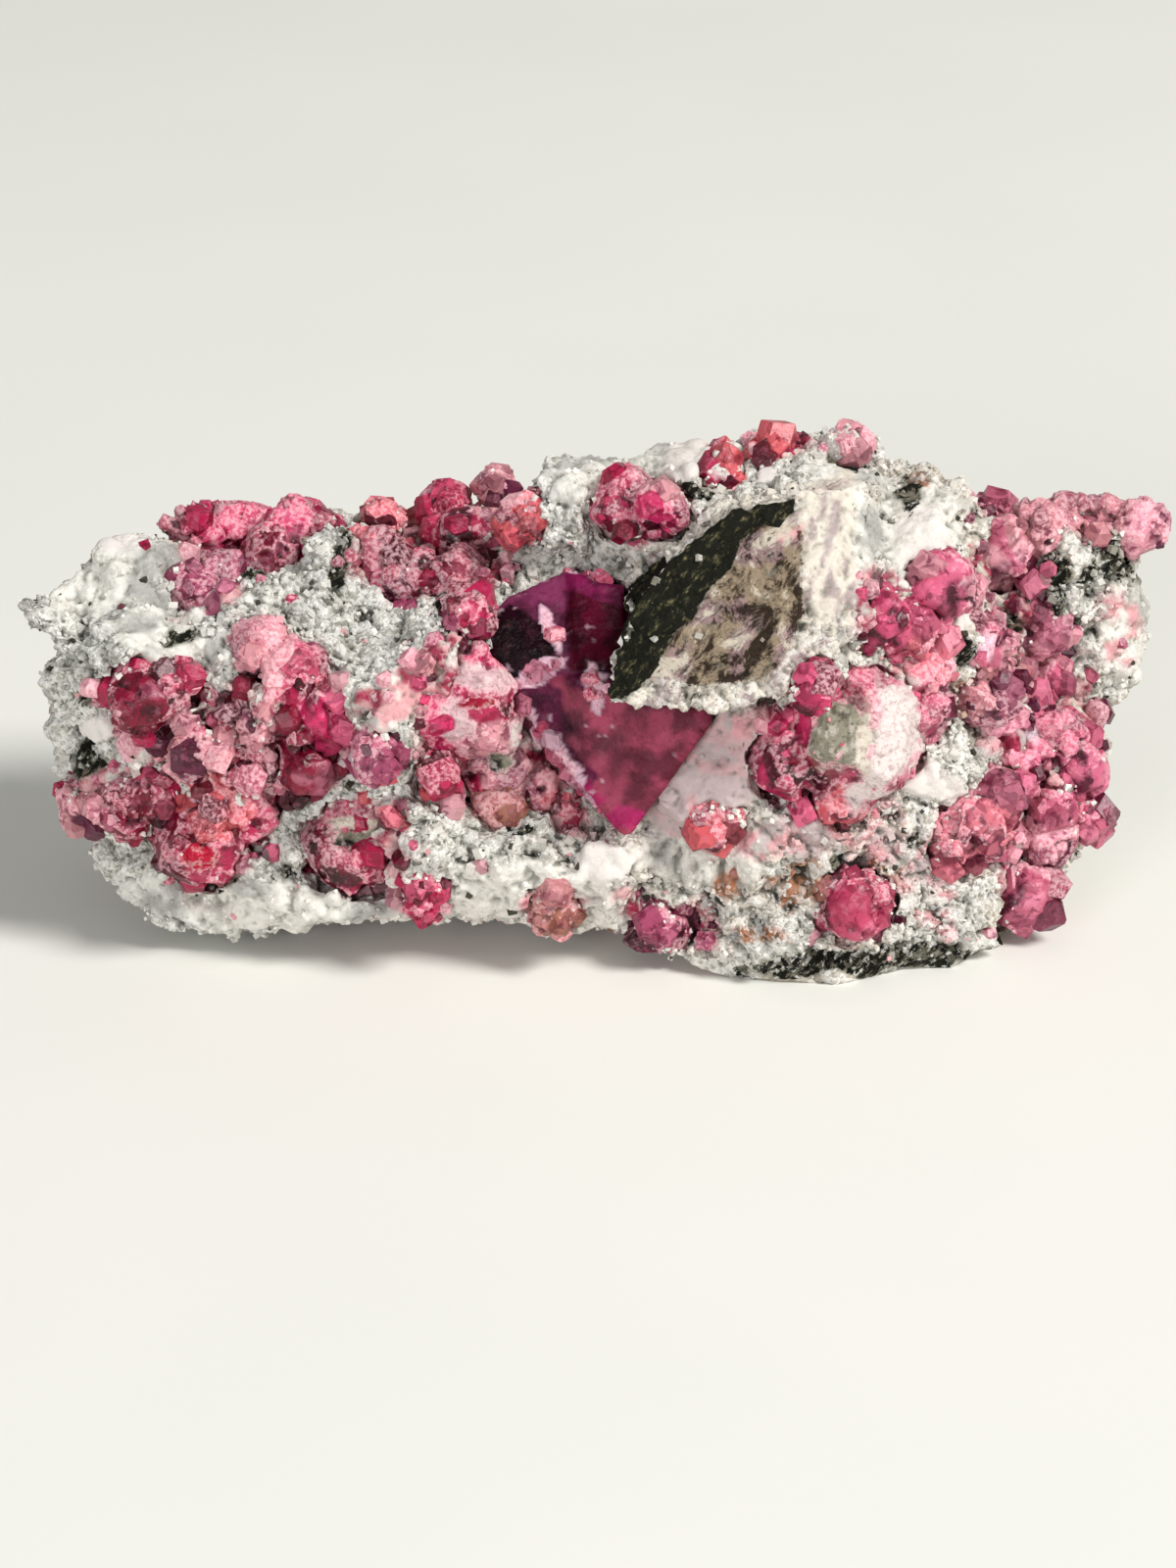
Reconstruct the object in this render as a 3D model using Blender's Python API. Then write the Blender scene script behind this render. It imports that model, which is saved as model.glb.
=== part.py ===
"""Raspberry-red garnets on a pale, granular matrix rock: a hand specimen that lies on its trimmed base.

Frame: metres, +X along the specimen to the right, +Y to the back, +Z up. The origin lies below the
middle of the specimen's outline, level with the flat base that the rock rests on. Numbers below are in
millimetres and MM turns them into metres. They are laid out around a point CENTRE away from the origin.

The front of the specimen is laid out as it is seen: a place (u, v) is millimetres to the right of and
above the middle of the picture plane, which stands square to the line of sight of an eye in front of
the rock and above it. Each garnet is seated where its line of sight meets the rock.
"""

import math
import random

import bmesh
import bpy
from mathutils import Euler, Matrix, Vector
from mathutils.bvhtree import BVHTree

MM = 0.001

# Line of sight: the eye looks at AIM from EYE_DISTANCE, tilted down by EYE_TILT
EYE_DISTANCE = 387.0
EYE_TILT = math.radians(25.0)
AIM = Vector((-0.8, 0.0, 11.7))
FORWARD = Vector((0.0, math.cos(EYE_TILT), -math.sin(EYE_TILT)))
RIGHT = Vector((1.0, 0.0, 0.0))
UP = Vector((0.0, math.sin(EYE_TILT), math.cos(EYE_TILT)))
EYE = AIM - FORWARD * EYE_DISTANCE
CENTRE = Vector((-0.289, 4.874, 0.0))  # middle of the finished outline, moved over the origin
EDGE_DEPTH = 8.0  # how far back a line of sight that just passes the rock is looked up

# Rock surface
VOXEL = 1.1
LUMP_SIZE, LUMP_HEIGHT = 7.0, 2.4
PIT_SIZE, PIT_HEIGHT = 2.6, 1.1
ROCK_TRIANGLES = 1560
BASE_HEIGHT = 0.0

# Garnets
GAP = 0.35  # between a garnet and its socket, or its neighbour
FACE_SPREAD = (0.88, 1.06)  # how near and how far a crystal's faces lie from its middle, in radii
SINK = 0.42  # how deep a garnet's middle lies behind the rock surface, as a share of its radius
GROWN_SHARE = 0.82  # how far apart the middles of intergrown garnets lie, as a share of their two radii
PULL_SHARE = 1.12  # garnets nearer than this share of their radii have grown into one
REACH_SHARE = 1.45  # corners of two garnets can meet up to this share of their radii
FLOOR_CLEARANCE = 0.3
BLOCK_SIZE = 4.0  # the block that a crystal is cut from, in radii
SHORTEST_EDGE = 0.12  # corners of a crystal nearer than this are one
CRUMB = 0.005  # edges shorter than this are cutting's leftovers
FLAT_ANGLE = math.radians(1.0)  # splinters of one flat face differ by less than this

# Outline of the rock in slices along X: front foot, front brow, back brow and back foot, each (y, z)
SLICES = [
    (-46.6, (-0.5, 26.0), (-1.0, 27.4), (3.0, 28.0), (3.5, 26.0)),
    (-43.8, (-3.0, 12.5), (-5.0, 24.0), (4.5, 29.0), (8.0, 13.0)),
    (-40.0, (-6.0, 4.6), (-8.5, 25.0), (9.0, 29.6), (14.5, 6.5)),
    (-36.0, (-8.0, 1.8), (-10.0, 25.0), (12.0, 29.6), (18.0, 2.5)),
    (-30.0, (-9.5, 1.2), (-11.0, 25.5), (14.0, 29.6), (20.0, 0.5)),
    (-24.0, (-9.0, 2.6), (-11.5, 25.0), (15.0, 30.6), (21.0, -1.0)),
    (-16.0, (-9.5, 4.0), (-11.0, 25.5), (16.0, 30.8), (22.0, -1.5)),
    (-10.0, (-8.5, 3.2), (-9.0, 27.0), (16.0, 31.2), (23.0, -1.5)),
    (-4.0, (-9.5, 2.8), (-4.5, 27.5), (15.5, 33.8), (23.0, -1.5)),
    (2.0, (-10.5, 2.2), (-4.5, 29.5), (14.0, 36.3), (23.0, -1.5)),
    (9.0, (-12.5, 0.6), (-8.5, 33.5), (13.0, 37.4), (22.5, -1.5)),
    (15.0, (-13.5, -1.0), (-10.0, 34.5), (12.0, 38.2), (22.0, -1.5)),
    (22.0, (-13.0, -1.0), (-9.0, 34.0), (13.0, 37.2), (21.0, -1.0)),
    (28.0, (-11.5, -0.5), (-5.0, 31.5), (13.0, 35.6), (20.0, 0.0)),
    (32.5, (-10.0, 0.4), (-2.5, 25.5), (14.0, 30.0), (19.0, 1.0)),
    (37.0, (-4.0, 2.2), (0.5, 15.0), (13.0, 20.0), (16.0, 3.0)),
    (42.0, (0.5, 7.5), (1.5, 14.0), (11.0, 16.0), (12.0, 8.0)),
]

# Lumps and boulders that stand out of the slices: middle and half sizes
LUMPS = {
    "left tip": ((-46.2, 1.2, 26.6), (1.6, 1.5, 1.7)),
    "left boulder": ((-38.6, 5.5, 28.3), (4.2, 3.6, 3.6)),
    "left shoulder": ((-37.0, -4.5, 25.3), (6.0, 5.0, 4.2)),
    "left hip": ((-40.6, -1.0, 17.0), (3.0, 4.2, 7.0)),
    "middle shoulder": ((-27.0, -2.0, 26.6), (6.6, 6.0, 4.0)),
    "granular crest": ((-21.5, 7.0, 29.2), (3.4, 7.0, 3.4)),
    "low skirt": ((-19.0, -8.3, 5.8), (13.0, 4.2, 2.4)),
    "ridge top": ((-11.4, -6.5, 28.6), (3.0, 3.2, 2.8)),
    "ridge upper": ((-13.6, -9.6, 26.2), (3.6, 3.0, 3.4)),
    "ridge elbow": ((-16.6, -11.2, 22.0), (3.2, 3.0, 5.2)),
    "ridge lower": ((-14.2, -11.0, 13.0), (3.8, 3.2, 6.4)),
    "apron": ((-4.0, -9.5, 9.2), (9.5, 4.2, 4.6)),
    "round boulder": ((0.6, -11.8, 10.4), (3.2, 2.6, 2.6)),
    "crest left": ((-1.5, 5.0, 34.3), (4.6, 6.0, 4.0)),
    "crest boulder": ((7.6, 3.0, 37.0), (2.6, 3.0, 3.0)),
    "right boulder": ((26.6, 1.5, 32.0), (5.4, 7.5, 6.4)),
    "right heel": ((30.0, -8.0, 3.6), (3.4, 3.6, 2.8)),
    "base ledge": ((17.0, -10.6, 3.8), (10.0, 4.2, 3.4)),
    "white knobs": ((28.6, -5.6, 15.8), (3.0, 3.2, 2.6)),
    "end bulge": ((37.6, 4.5, 10.5), (5.0, 7.5, 6.5)),
    "far shoulder": ((41.5, 14.5, 19.5), (5.6, 5.5, 7.5)),
    "back swell": ((-22.0, 17.0, 14.0), (12.0, 7.0, 9.0)),
    "back ridge": ((10.0, 17.0, 20.0), (14.0, 8.0, 10.0)),
}

# Broken blocks that the rock has grown over, each the hull of its corners
BLOCKS = {
    # The arm that reaches out to the upper right
    "arm": [
        (30.0, 8.0, 30.5), (36.0, 6.0, 31.4), (43.5, 6.5, 31.8), (46.0, 9.0, 31.6), (45.6, 8.5, 28.6),
        (43.0, 6.0, 24.6), (36.0, 4.5, 23.8), (31.0, 4.0, 22.0), (30.0, 16.0, 30.0), (44.0, 15.0, 30.5),
        (43.0, 16.0, 22.0), (30.0, 17.0, 20.0),
    ],
    "crest slab": [
        (2.0, -3.0, 36.0), (16.0, -2.0, 38.6), (22.0, 0.0, 39.0), (24.0, 10.0, 38.4), (14.0, 13.0, 38.8),
        (3.0, 12.0, 37.4), (2.0, 0.0, 30.0), (22.0, 0.0, 30.0), (22.0, 12.0, 30.0), (2.0, 12.0, 30.0),
    ],
    # The smooth pale face to the lower right of the great garnet
    "pale face": [
        (3.8, -11.2, 15.9), (8.6, -9.2, 21.0), (12.6, -9.2, 22.0), (14.6, -11.0, 17.8), (10.6, -12.6, 14.6),
        (6.5, -12.6, 13.6), (4.0, -4.0, 15.0), (14.0, -4.0, 16.0), (9.0, -4.0, 21.0), (6.0, -4.0, 12.0),
    ],
}

# The dark-faced wedge that overhangs the hollow and keeps its clean breaks, front corners first
WEDGE = [
    (0.4, -17.0, 26.2), (1.6, -15.4, 32.6), (4.6, -12.8, 36.2), (10.6, -9.2, 39.6),
    (16.6, -6.2, 40.6), (21.4, -4.0, 40.2), (21.6, -12.6, 31.4), (17.6, -15.6, 27.2),
    (9.0, -17.0, 25.6), (6.0, -7.0, 26.0), (8.0, -2.0, 37.0), (23.0, 2.0, 38.0), (23.5, -5.0, 25.0),
]

# Garnets of the front, top and ends, by where they sit: (u, v, radius) with the radius to a crystal face
GARNETS = {
    "top_left": [
        (-32.8, 20.6, 2.2), (-29.8, 21.2, 1.8), (-26.1, 22.5, 2.8), (-26.0, 18.9, 2.1),
        (-32.4, 15.8, 1.9), (-30.3, 17.2, 1.6),
    ],
    "shoulder": [(-27.2, 11.2, 2.0)],
    "middle_left": [
        (-17.3, 18.8, 1.9), (-17.0, 21.4, 1.6), (-15.9, 15.9, 1.5), (-13.6, 17.0, 2.0),
        (-11.5, 22.5, 2.1), (-10.0, 20.2, 1.9), (-10.0, 17.6, 1.8), (-7.6, 24.1, 1.6), (-5.2, 21.9, 1.8),
    ],
    "left_face": [
        (-37.0, 7.1, 2.4), (-33.0, 8.3, 1.6), (-23.7, 8.1, 2.5), (-21.4, 5.2, 1.8),
        (-24.7, 3.9, 1.6), (-23.0, 1.1, 2.0), (-30.0, 2.0, 1.6), (-27.6, 4.3, 1.6), (-33.5, 2.7, 2.0),
        (-38.4, -1.8, 2.2), (-41.8, -1.6, 2.0), (-35.3, -0.4, 1.7), (-30.3, -1.6, 1.9),
        (-27.7, -2.4, 1.7), (-17.4, 2.0, 1.9),
    ],
    "left_foot": [(-32.4, -5.4, 3.3), (-19.1, -4.7, 4.2)],
    "ridge": [
        (-9.8, 14.2, 1.7), (-10.1, 7.2, 4.4), (-7.2, 2.6, 3.3),
        (-12.4, 0.2, 1.7), (-3.0, -1.0, 1.8), (-7.3, -2.5, 1.7),
    ],
    "crest": [
        (3.2, 23.2, 2.3), (6.6, 22.6, 2.0), (11.0, 25.6, 1.5), (14.9, 27.6, 1.5),
        (21.2, 27.6, 1.5),
    ],
    "right_face": [
        (24.1, 13.9, 1.9), (29.0, 16.2, 2.5), (26.8, 12.6, 1.8), (28.2, 9.4, 1.9),
        (27.8, 5.4, 2.0), (18.6, 7.9, 1.6), (33.7, 18.8, 2.9), (38.0, 12.6, 2.0), (33.2, 10.6, 2.1),
        (37.7, 8.8, 1.6), (32.8, 7.0, 2.0),
    ],
    "shell": [(20.0, 4.2, 5.6), (16.0, 1.6, 2.4), (20.8, -2.6, 1.8)],
    "foot": [
        (10.5, -3.1, 2.0), (31.2, -4.1, 2.9), (22.0, -10.2, 2.5),
        (-13.6, -8.9, 1.6), (-3.2, -10.2, 1.9), (6.2, -11.4, 2.0),
    ],
    "right_end": [
        (38.1, 3.6, 2.5), (40.8, 1.2, 1.9), (36.3, 1.0, 1.5), (34.0, -0.8, 2.1), (41.3, -3.0, 1.8),
        (38.6, -2.0, 1.6), (37.9, -5.2, 1.9), (35.9, -9.4, 2.4),
    ],
    "arm": [(37.3, 21.0, 2.2), (39.7, 21.8, 1.9), (43.0, 21.8, 1.8), (46.4, 21.4, 2.0)],
}

# Garnets of the sides that face away, by the outward direction from MIDDLE in degrees: (turn, rise, radius)
MIDDLE = Vector((0.0, 2.0, 17.0))
BACK_GARNETS = [
    (150, 10, 2.4), (158, 22, 1.8), (172, 8, 2.8), (186, 24, 2.0), (200, 6, 2.2), (206, 26, 1.6),
    (112, 18, 2.0), (248, 20, 2.2), (235, 40, 1.7), (128, 44, 1.8),
]

# Corners of the great wine-red garnet in the hollow: picture place and how far back (u, v, y)
GREAT_CORNERS = {
    "face left": (-5.7, 7.7, -9.5),
    "face upper left": (-1.9, 8.9, -8.9),
    "face upper right": (1.0, 9.1, -9.1),
    "face right": (9.9, 5.3, -10.5),
    "face foot": (3.2, -3.9, -13.0),
    "column top left": (-1.9, 17.6, -1.5),
    "column top right": (1.4, 17.0, -2.0),
    "right shoulder": (5.4, 13.0, -3.5),
    "left corner": (-9.4, 12.3, -7.5),
    "left top": (-6.6, 15.5, -3.5),
    "back left": (-9.0, 10.0, 4.0),
    "back right": (9.0, 10.0, 3.0),
    "back top": (0.0, 16.0, 5.0),
    "back foot": (2.0, 0.0, 0.0),
}

# Ring-shaped garnets, hollowed where the front of the crystal was lost: node and share of its radius
HOLLOWS = {"garnet_left_foot_1": 0.42, "garnet_left_foot_2": 0.44}

RASPBERRY = ((0.46, 0.035, 0.115), 0.35)
WINE = ((0.16, 0.008, 0.045), 0.22)
ROCK = ((0.66, 0.65, 0.60), 0.9)

# Face directions of the garnet's two common forms
DODECAHEDRON = [
    Vector(n).normalized()
    for a, b in ((1, 1), (1, -1), (-1, 1), (-1, -1))
    for n in ((a, b, 0), (a, 0, b), (0, a, b))
]


def clear_scene():
    for obj in list(bpy.data.objects):
        bpy.data.objects.remove(obj)


def make_material(name, finish):
    colour, roughness = finish
    material = bpy.data.materials.new(name)
    material.use_nodes = True
    shader = material.node_tree.nodes["Principled BSDF"]
    shader.inputs["Base Color"].default_value = (*colour, 1.0)
    shader.inputs["Roughness"].default_value = roughness
    shader.inputs["Metallic"].default_value = 0.0
    return material


def object_from(bm, name, material=None):
    """A new object that holds bm's mesh, scaled from millimetres to metres."""
    mesh = bpy.data.meshes.new(name)
    bm.to_mesh(mesh)
    bm.free()
    mesh.transform(Matrix.Scale(MM, 4))
    if material:
        mesh.materials.append(material)
    obj = bpy.data.objects.new(name, mesh)
    bpy.context.scene.collection.objects.link(obj)
    return obj


def bake_modifiers(obj):
    """Replaces the object's mesh by what its modifiers make of it."""
    bpy.context.view_layer.update()
    graph = bpy.context.evaluated_depsgraph_get()
    baked = bpy.data.meshes.new_from_object(obj.evaluated_get(graph))
    obj.modifiers.clear()
    obj.data = baked


def boolean(obj, other, operation):
    """Joins other to obj or cuts it from obj, and removes other."""
    modifier = obj.modifiers.new(operation.lower(), "BOOLEAN")
    modifier.operation = operation
    modifier.object = other
    bake_modifiers(obj)
    bpy.data.objects.remove(other)


def clean_up(obj):
    """Deletes the crumbs that cutting leaves beside the main body and joins the splinters of flat faces."""
    bm = bmesh.new()
    bm.from_mesh(obj.data)
    unseen = set(bm.verts)
    pieces = []
    while unseen:
        piece = set()
        front = [unseen.pop()]
        while front:
            vertex = front.pop()
            piece.add(vertex)
            for edge in vertex.link_edges:
                other = edge.other_vert(vertex)
                if other in unseen:
                    unseen.discard(other)
                    front.append(other)
        pieces.append(piece)
    pieces.sort(key=len)
    crumbs = [vertex for piece in pieces[:-1] for vertex in piece]
    bmesh.ops.delete(bm, geom=crumbs, context="VERTS")
    bmesh.ops.dissolve_degenerate(bm, dist=CRUMB * MM, edges=bm.edges[:])
    bmesh.ops.dissolve_limit(bm, angle_limit=FLAT_ANGLE, verts=bm.verts[:], edges=bm.edges[:])
    bmesh.ops.triangulate(bm, faces=bm.faces[:])
    bm.to_mesh(obj.data)
    bm.free()


def add_slices(bm):
    """The long body of the rock, one quadrilateral for each slice, skinned from end to end."""
    rings = []
    for x, *corners in SLICES:
        rings.append([bm.verts.new((x, y, z)) for y, z in corners])
    for left, right in zip(rings, rings[1:]):
        for i in range(4):
            j = (i + 1) % 4
            bm.faces.new((left[i], left[j], right[j], right[i]))
    bm.faces.new(reversed(rings[0]))
    bm.faces.new(rings[-1])


def add_lump(bm, middle, half_sizes):
    place = Matrix.Translation(middle) @ Matrix.Diagonal((*half_sizes, 1.0))
    bmesh.ops.create_icosphere(bm, subdivisions=3, radius=1.0, matrix=place)


def add_block(bm, corners):
    block = bmesh.new()
    for corner in corners:
        block.verts.new(corner)
    bmesh.ops.convex_hull(block, input=block.verts)
    bmesh.ops.delete(block, geom=[v for v in block.verts if not v.link_faces], context="VERTS")
    copies = {v: bm.verts.new(v.co) for v in block.verts}
    for face in block.faces:
        bm.faces.new([copies[v] for v in face.verts])
    block.free()


def roughen(obj, name, size, height):
    """Raises and lowers the surface by a cloud of bumps of that size."""
    clouds = bpy.data.textures.new(name, "CLOUDS")
    clouds.noise_scale = size * MM
    clouds.noise_depth = 2
    displace = obj.modifiers.new(name, "DISPLACE")
    displace.texture = clouds
    displace.texture_coords = "LOCAL"
    displace.strength = height * MM
    displace.mid_level = 0.5


def cut_base_flat(obj):
    bm = bmesh.new()
    bm.from_mesh(obj.data)
    everything = bm.verts[:] + bm.edges[:] + bm.faces[:]
    cut = bmesh.ops.bisect_plane(
        bm, geom=everything, plane_co=(0, 0, BASE_HEIGHT * MM), plane_no=(0, 0, -1), clear_outer=True
    )
    rim = [edge for edge in cut["geom_cut"] if isinstance(edge, bmesh.types.BMEdge)]
    bmesh.ops.holes_fill(bm, edges=rim, sides=0)
    bmesh.ops.triangulate(bm, faces=bm.faces[:])
    bm.to_mesh(obj.data)
    bm.free()


def make_rock():
    """Slices, lumps and blocks grown into one body, roughened, reduced to flat facets and trimmed below."""
    bm = bmesh.new()
    add_slices(bm)
    for middle, half_sizes in LUMPS.values():
        add_lump(bm, middle, half_sizes)
    for corners in BLOCKS.values():
        add_block(bm, corners)
    bmesh.ops.recalc_face_normals(bm, faces=bm.faces[:])
    rock = object_from(bm, "matrix_rock", make_material("matrix_rock", ROCK))
    remesh = rock.modifiers.new("grow together", "REMESH")
    remesh.mode = "VOXEL"
    remesh.voxel_size = VOXEL * MM
    roughen(rock, "lumps", LUMP_SIZE, LUMP_HEIGHT)
    roughen(rock, "pits", PIT_SIZE, PIT_HEIGHT)
    bake_modifiers(rock)
    reduce = rock.modifiers.new("reduce", "DECIMATE")
    reduce.ratio = ROCK_TRIANGLES / (2 * len(rock.data.polygons))
    bake_modifiers(rock)
    cut_base_flat(rock)
    bm = bmesh.new()
    add_block(bm, WEDGE)
    bmesh.ops.recalc_face_normals(bm, faces=bm.faces[:])
    boolean(rock, object_from(bm, "wedge"), "UNION")
    clean_up(rock)
    return rock


def surface_of(rock):
    """The rock's surface in millimetres, to seat the garnets on."""
    bm = bmesh.new()
    bm.from_mesh(rock.data)
    bmesh.ops.scale(bm, vec=(1 / MM,) * 3, verts=bm.verts)
    tree = BVHTree.FromBMesh(bm)
    bm.free()
    return tree


def cut_crystal(middle, faces):
    """A convex crystal: a block cut along each face, given as its direction and distance from the middle."""
    furthest = max(distance for _, distance in faces)
    bm = bmesh.new()
    bmesh.ops.create_cube(bm, size=BLOCK_SIZE * furthest)
    bmesh.ops.translate(bm, vec=middle, verts=bm.verts)
    for normal, distance in faces:
        everything = bm.verts[:] + bm.edges[:] + bm.faces[:]
        cut = bmesh.ops.bisect_plane(
            bm, geom=everything, plane_co=middle + normal * distance, plane_no=normal, clear_outer=True
        )
        rim = [edge for edge in cut["geom_cut"] if isinstance(edge, bmesh.types.BMEdge)]
        rim = [edge for edge in rim if edge.is_boundary]
        if rim:
            bmesh.ops.edgeloop_fill(bm, edges=rim)
    bmesh.ops.remove_doubles(bm, verts=bm.verts[:], dist=SHORTEST_EDGE)
    bmesh.ops.recalc_face_normals(bm, faces=bm.faces[:])
    bmesh.ops.triangulate(bm, faces=bm.faces[:])
    return bm


class Garnet:
    """One crystal: its middle and radius in millimetres, and its faces as direction and distance."""

    def __init__(self, name, middle, radius):
        self.name = name
        self.middle = middle
        self.radius = radius
        draw = random.Random(name)
        turned = Euler([draw.uniform(0, math.tau) for _ in range(3)]).to_matrix()
        self.faces = [(turned @ n, radius * draw.uniform(*FACE_SPREAD)) for n in DODECAHEDRON]
        self.grown_on = None
        self.limits = []

    def first(self):
        """The garnet that names the cluster this one has grown into."""
        return self.grown_on.first() if self.grown_on else self

    def solid(self, swollen=0.0):
        """The crystal's mesh, with every face moved outwards by swollen."""
        floor = self.middle.z - FLOOR_CLEARANCE
        faces = self.faces + self.limits + [(Vector((0, 0, -1)), floor)]
        return cut_crystal(self.middle, [(normal, distance + swollen) for normal, distance in faces])


class GreatGarnet(Garnet):
    """The great garnet, whose faces are those of the hull of its corners."""

    def __init__(self):
        corners = [at_depth(u, v, y) for u, v, y in GREAT_CORNERS.values()]
        self.name = "great_garnet"
        self.middle = sum(corners, Vector()) / len(corners)
        hull = bmesh.new()
        for corner in corners:
            hull.verts.new(corner)
        bmesh.ops.convex_hull(hull, input=hull.verts)
        bmesh.ops.recalc_face_normals(hull, faces=hull.faces)
        hull.normal_update()
        self.faces = [(f.normal.copy(), (f.verts[0].co - self.middle).dot(f.normal)) for f in hull.faces]
        hull.free()
        self.limits = []


def line_of_sight(u, v):
    """The direction in which the eye sees the picture place (u, v)."""
    return (AIM + RIGHT * u + UP * v - EYE).normalized()


def at_depth(u, v, y):
    """The point at (u, v) in the picture that lies y millimetres back."""
    direction = line_of_sight(u, v)
    return EYE + direction * ((y - EYE.y) / direction.y)


def place_garnets(rock):
    """The garnets, seated on the rock."""
    surface = surface_of(rock)
    garnets = []
    for place, spots in GARNETS.items():
        for number, (u, v, radius) in enumerate(spots, 1):
            direction = line_of_sight(u, v)
            hit = surface.ray_cast(EYE, direction)[0]
            if hit is None:
                hit = surface.find_nearest(at_depth(u, v, EDGE_DEPTH))[0]
            name = f"garnet_{place}_{number}"
            garnets.append(Garnet(name, hit + direction * (radius * SINK), radius))
    for number, (turn, rise, radius) in enumerate(BACK_GARNETS, 1):
        around = Matrix.Rotation(math.radians(turn), 3, "Z") @ Matrix.Rotation(-math.radians(rise), 3, "X")
        outward = around @ Vector((0, -1, 0))
        hit = surface.ray_cast(MIDDLE + outward * EYE_DISTANCE, -outward)[0]
        garnets.append(Garnet(f"garnet_back_{number}", hit - outward * (radius * SINK), radius))
    return garnets


def share_apart(a, b):
    """How far apart two garnets' middles lie, as a share of their radii added together."""
    return (a.middle - b.middle).length / (a.radius + b.radius)


def grow_together(garnets):
    """Each garnet that comes close to an earlier one is drawn in until the two overlap."""
    for index, garnet in enumerate(garnets[1:], 1):
        nearest = min(garnets[:index], key=lambda other: share_apart(garnet, other))
        share = share_apart(garnet, nearest)
        if GROWN_SHARE < share < PULL_SHARE:
            garnet.middle = nearest.middle.lerp(garnet.middle, GROWN_SHARE / share)
    for index, garnet in enumerate(garnets):
        for other in garnets[:index]:
            heads = sorted((garnet.first(), other.first()), key=garnets.index)
            if share_apart(garnet, other) < GROWN_SHARE + 0.01 and heads[0] is not heads[1]:
                heads[1].grown_on = heads[0]


def part_neighbours(garnets):
    """Garnets of two clusters that would touch end at a flat face between them."""
    for index, a in enumerate(garnets):
        for b in garnets[index + 1 :]:
            if a.first() is b.first() or share_apart(a, b) > REACH_SHARE:
                continue
            towards = b.middle - a.middle
            distance = towards.length
            towards.normalize()
            share = a.radius / (a.radius + b.radius)
            a.limits.append((towards, distance * share - GAP / 2))
            b.limits.append((-towards, distance * (1 - share) - GAP / 2))


def hollow_out(obj, garnet, share):
    """A round pit in the front of a ring-shaped garnet."""
    bm = bmesh.new()
    opening = garnet.middle - FORWARD * garnet.radius
    pit = Matrix.Translation(opening) @ Matrix.Scale(garnet.radius * share, 4)
    bmesh.ops.create_icosphere(bm, subdivisions=1, radius=1.0, matrix=pit)
    boolean(obj, object_from(bm, "pit"), "DIFFERENCE")


def build():
    clear_scene()
    rock = make_rock()
    great = GreatGarnet()
    garnets = place_garnets(rock)
    grow_together(garnets)
    part_neighbours(garnets)
    raspberry = make_material("raspberry_garnet", RASPBERRY)
    clusters = {}
    for garnet in garnets:
        boolean(rock, object_from(garnet.solid(GAP), "socket"), "DIFFERENCE")
        crystal = object_from(garnet.solid(), garnet.name, raspberry)
        if garnet.grown_on:
            boolean(clusters[garnet.first().name], crystal, "UNION")
        else:
            clusters[garnet.name] = crystal
        if garnet.name in HOLLOWS:
            hollow_out(clusters[garnet.first().name], garnet, HOLLOWS[garnet.name])
    for body in (rock, *clusters.values()):
        boolean(body, object_from(great.solid(GAP), "great socket"), "DIFFERENCE")
        clean_up(body)
    object_from(great.solid(), great.name, make_material("wine_garnet", WINE))
    for obj in bpy.data.objects:
        obj.data.transform(Matrix.Translation(-CENTRE * MM))


build()
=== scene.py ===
"""The looks of the garnet specimen: raspberry garnets, large and small, their crust, and the rock.

Places (u, v) are millimetres to the right of and above the middle of the picture plane, which stands
square to the camera's line of sight. Everything else is in the model's frame. MM turns millimetres
into metres.
"""

import math
from itertools import product

import bmesh
import bpy
import numpy as np
from mathutils import Euler, Matrix, Vector
from mathutils.kdtree import KDTree


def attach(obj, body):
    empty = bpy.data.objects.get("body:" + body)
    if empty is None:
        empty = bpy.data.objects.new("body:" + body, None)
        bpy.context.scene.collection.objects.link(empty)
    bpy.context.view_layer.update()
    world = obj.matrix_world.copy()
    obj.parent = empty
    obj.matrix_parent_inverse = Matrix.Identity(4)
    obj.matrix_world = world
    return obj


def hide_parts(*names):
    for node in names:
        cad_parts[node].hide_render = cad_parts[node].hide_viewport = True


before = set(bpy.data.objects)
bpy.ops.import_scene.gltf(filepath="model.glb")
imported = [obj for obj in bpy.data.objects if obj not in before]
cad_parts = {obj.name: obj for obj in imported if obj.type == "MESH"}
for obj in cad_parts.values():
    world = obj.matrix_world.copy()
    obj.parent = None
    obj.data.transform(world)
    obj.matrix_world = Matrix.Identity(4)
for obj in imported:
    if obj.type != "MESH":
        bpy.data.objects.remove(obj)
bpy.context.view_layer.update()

MM = 0.001

# Camera, as it stood in front of and above the specimen
EYE_DISTANCE = 387.0
EYE_TILT = math.radians(25.0)
AIM = np.array([-0.511, -4.874, 11.7])
FORWARD = np.array([0.0, math.cos(EYE_TILT), -math.sin(EYE_TILT)])
UP = np.array([0.0, math.sin(EYE_TILT), math.cos(EYE_TILT)])
EYE = AIM - FORWARD * EYE_DISTANCE
LENS = 107.3

# Fineness of the meshes
ROCK_VOXEL = 0.335
GARNET_VOXEL = 0.25
GREAT_VOXEL = 0.26
GRAINS = 6200  # in each of the two meshes
DRUSE = 1500
SATELLITES = 1200
GREAT_SATELLITES = 160
FROST = 4500
# The rock's pieces: name, and from where to where along x
ROCK_PIECES = (("rock_left", -99, -15), ("rock_middle", -15, 17), ("rock_right", 17, 99))

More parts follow.
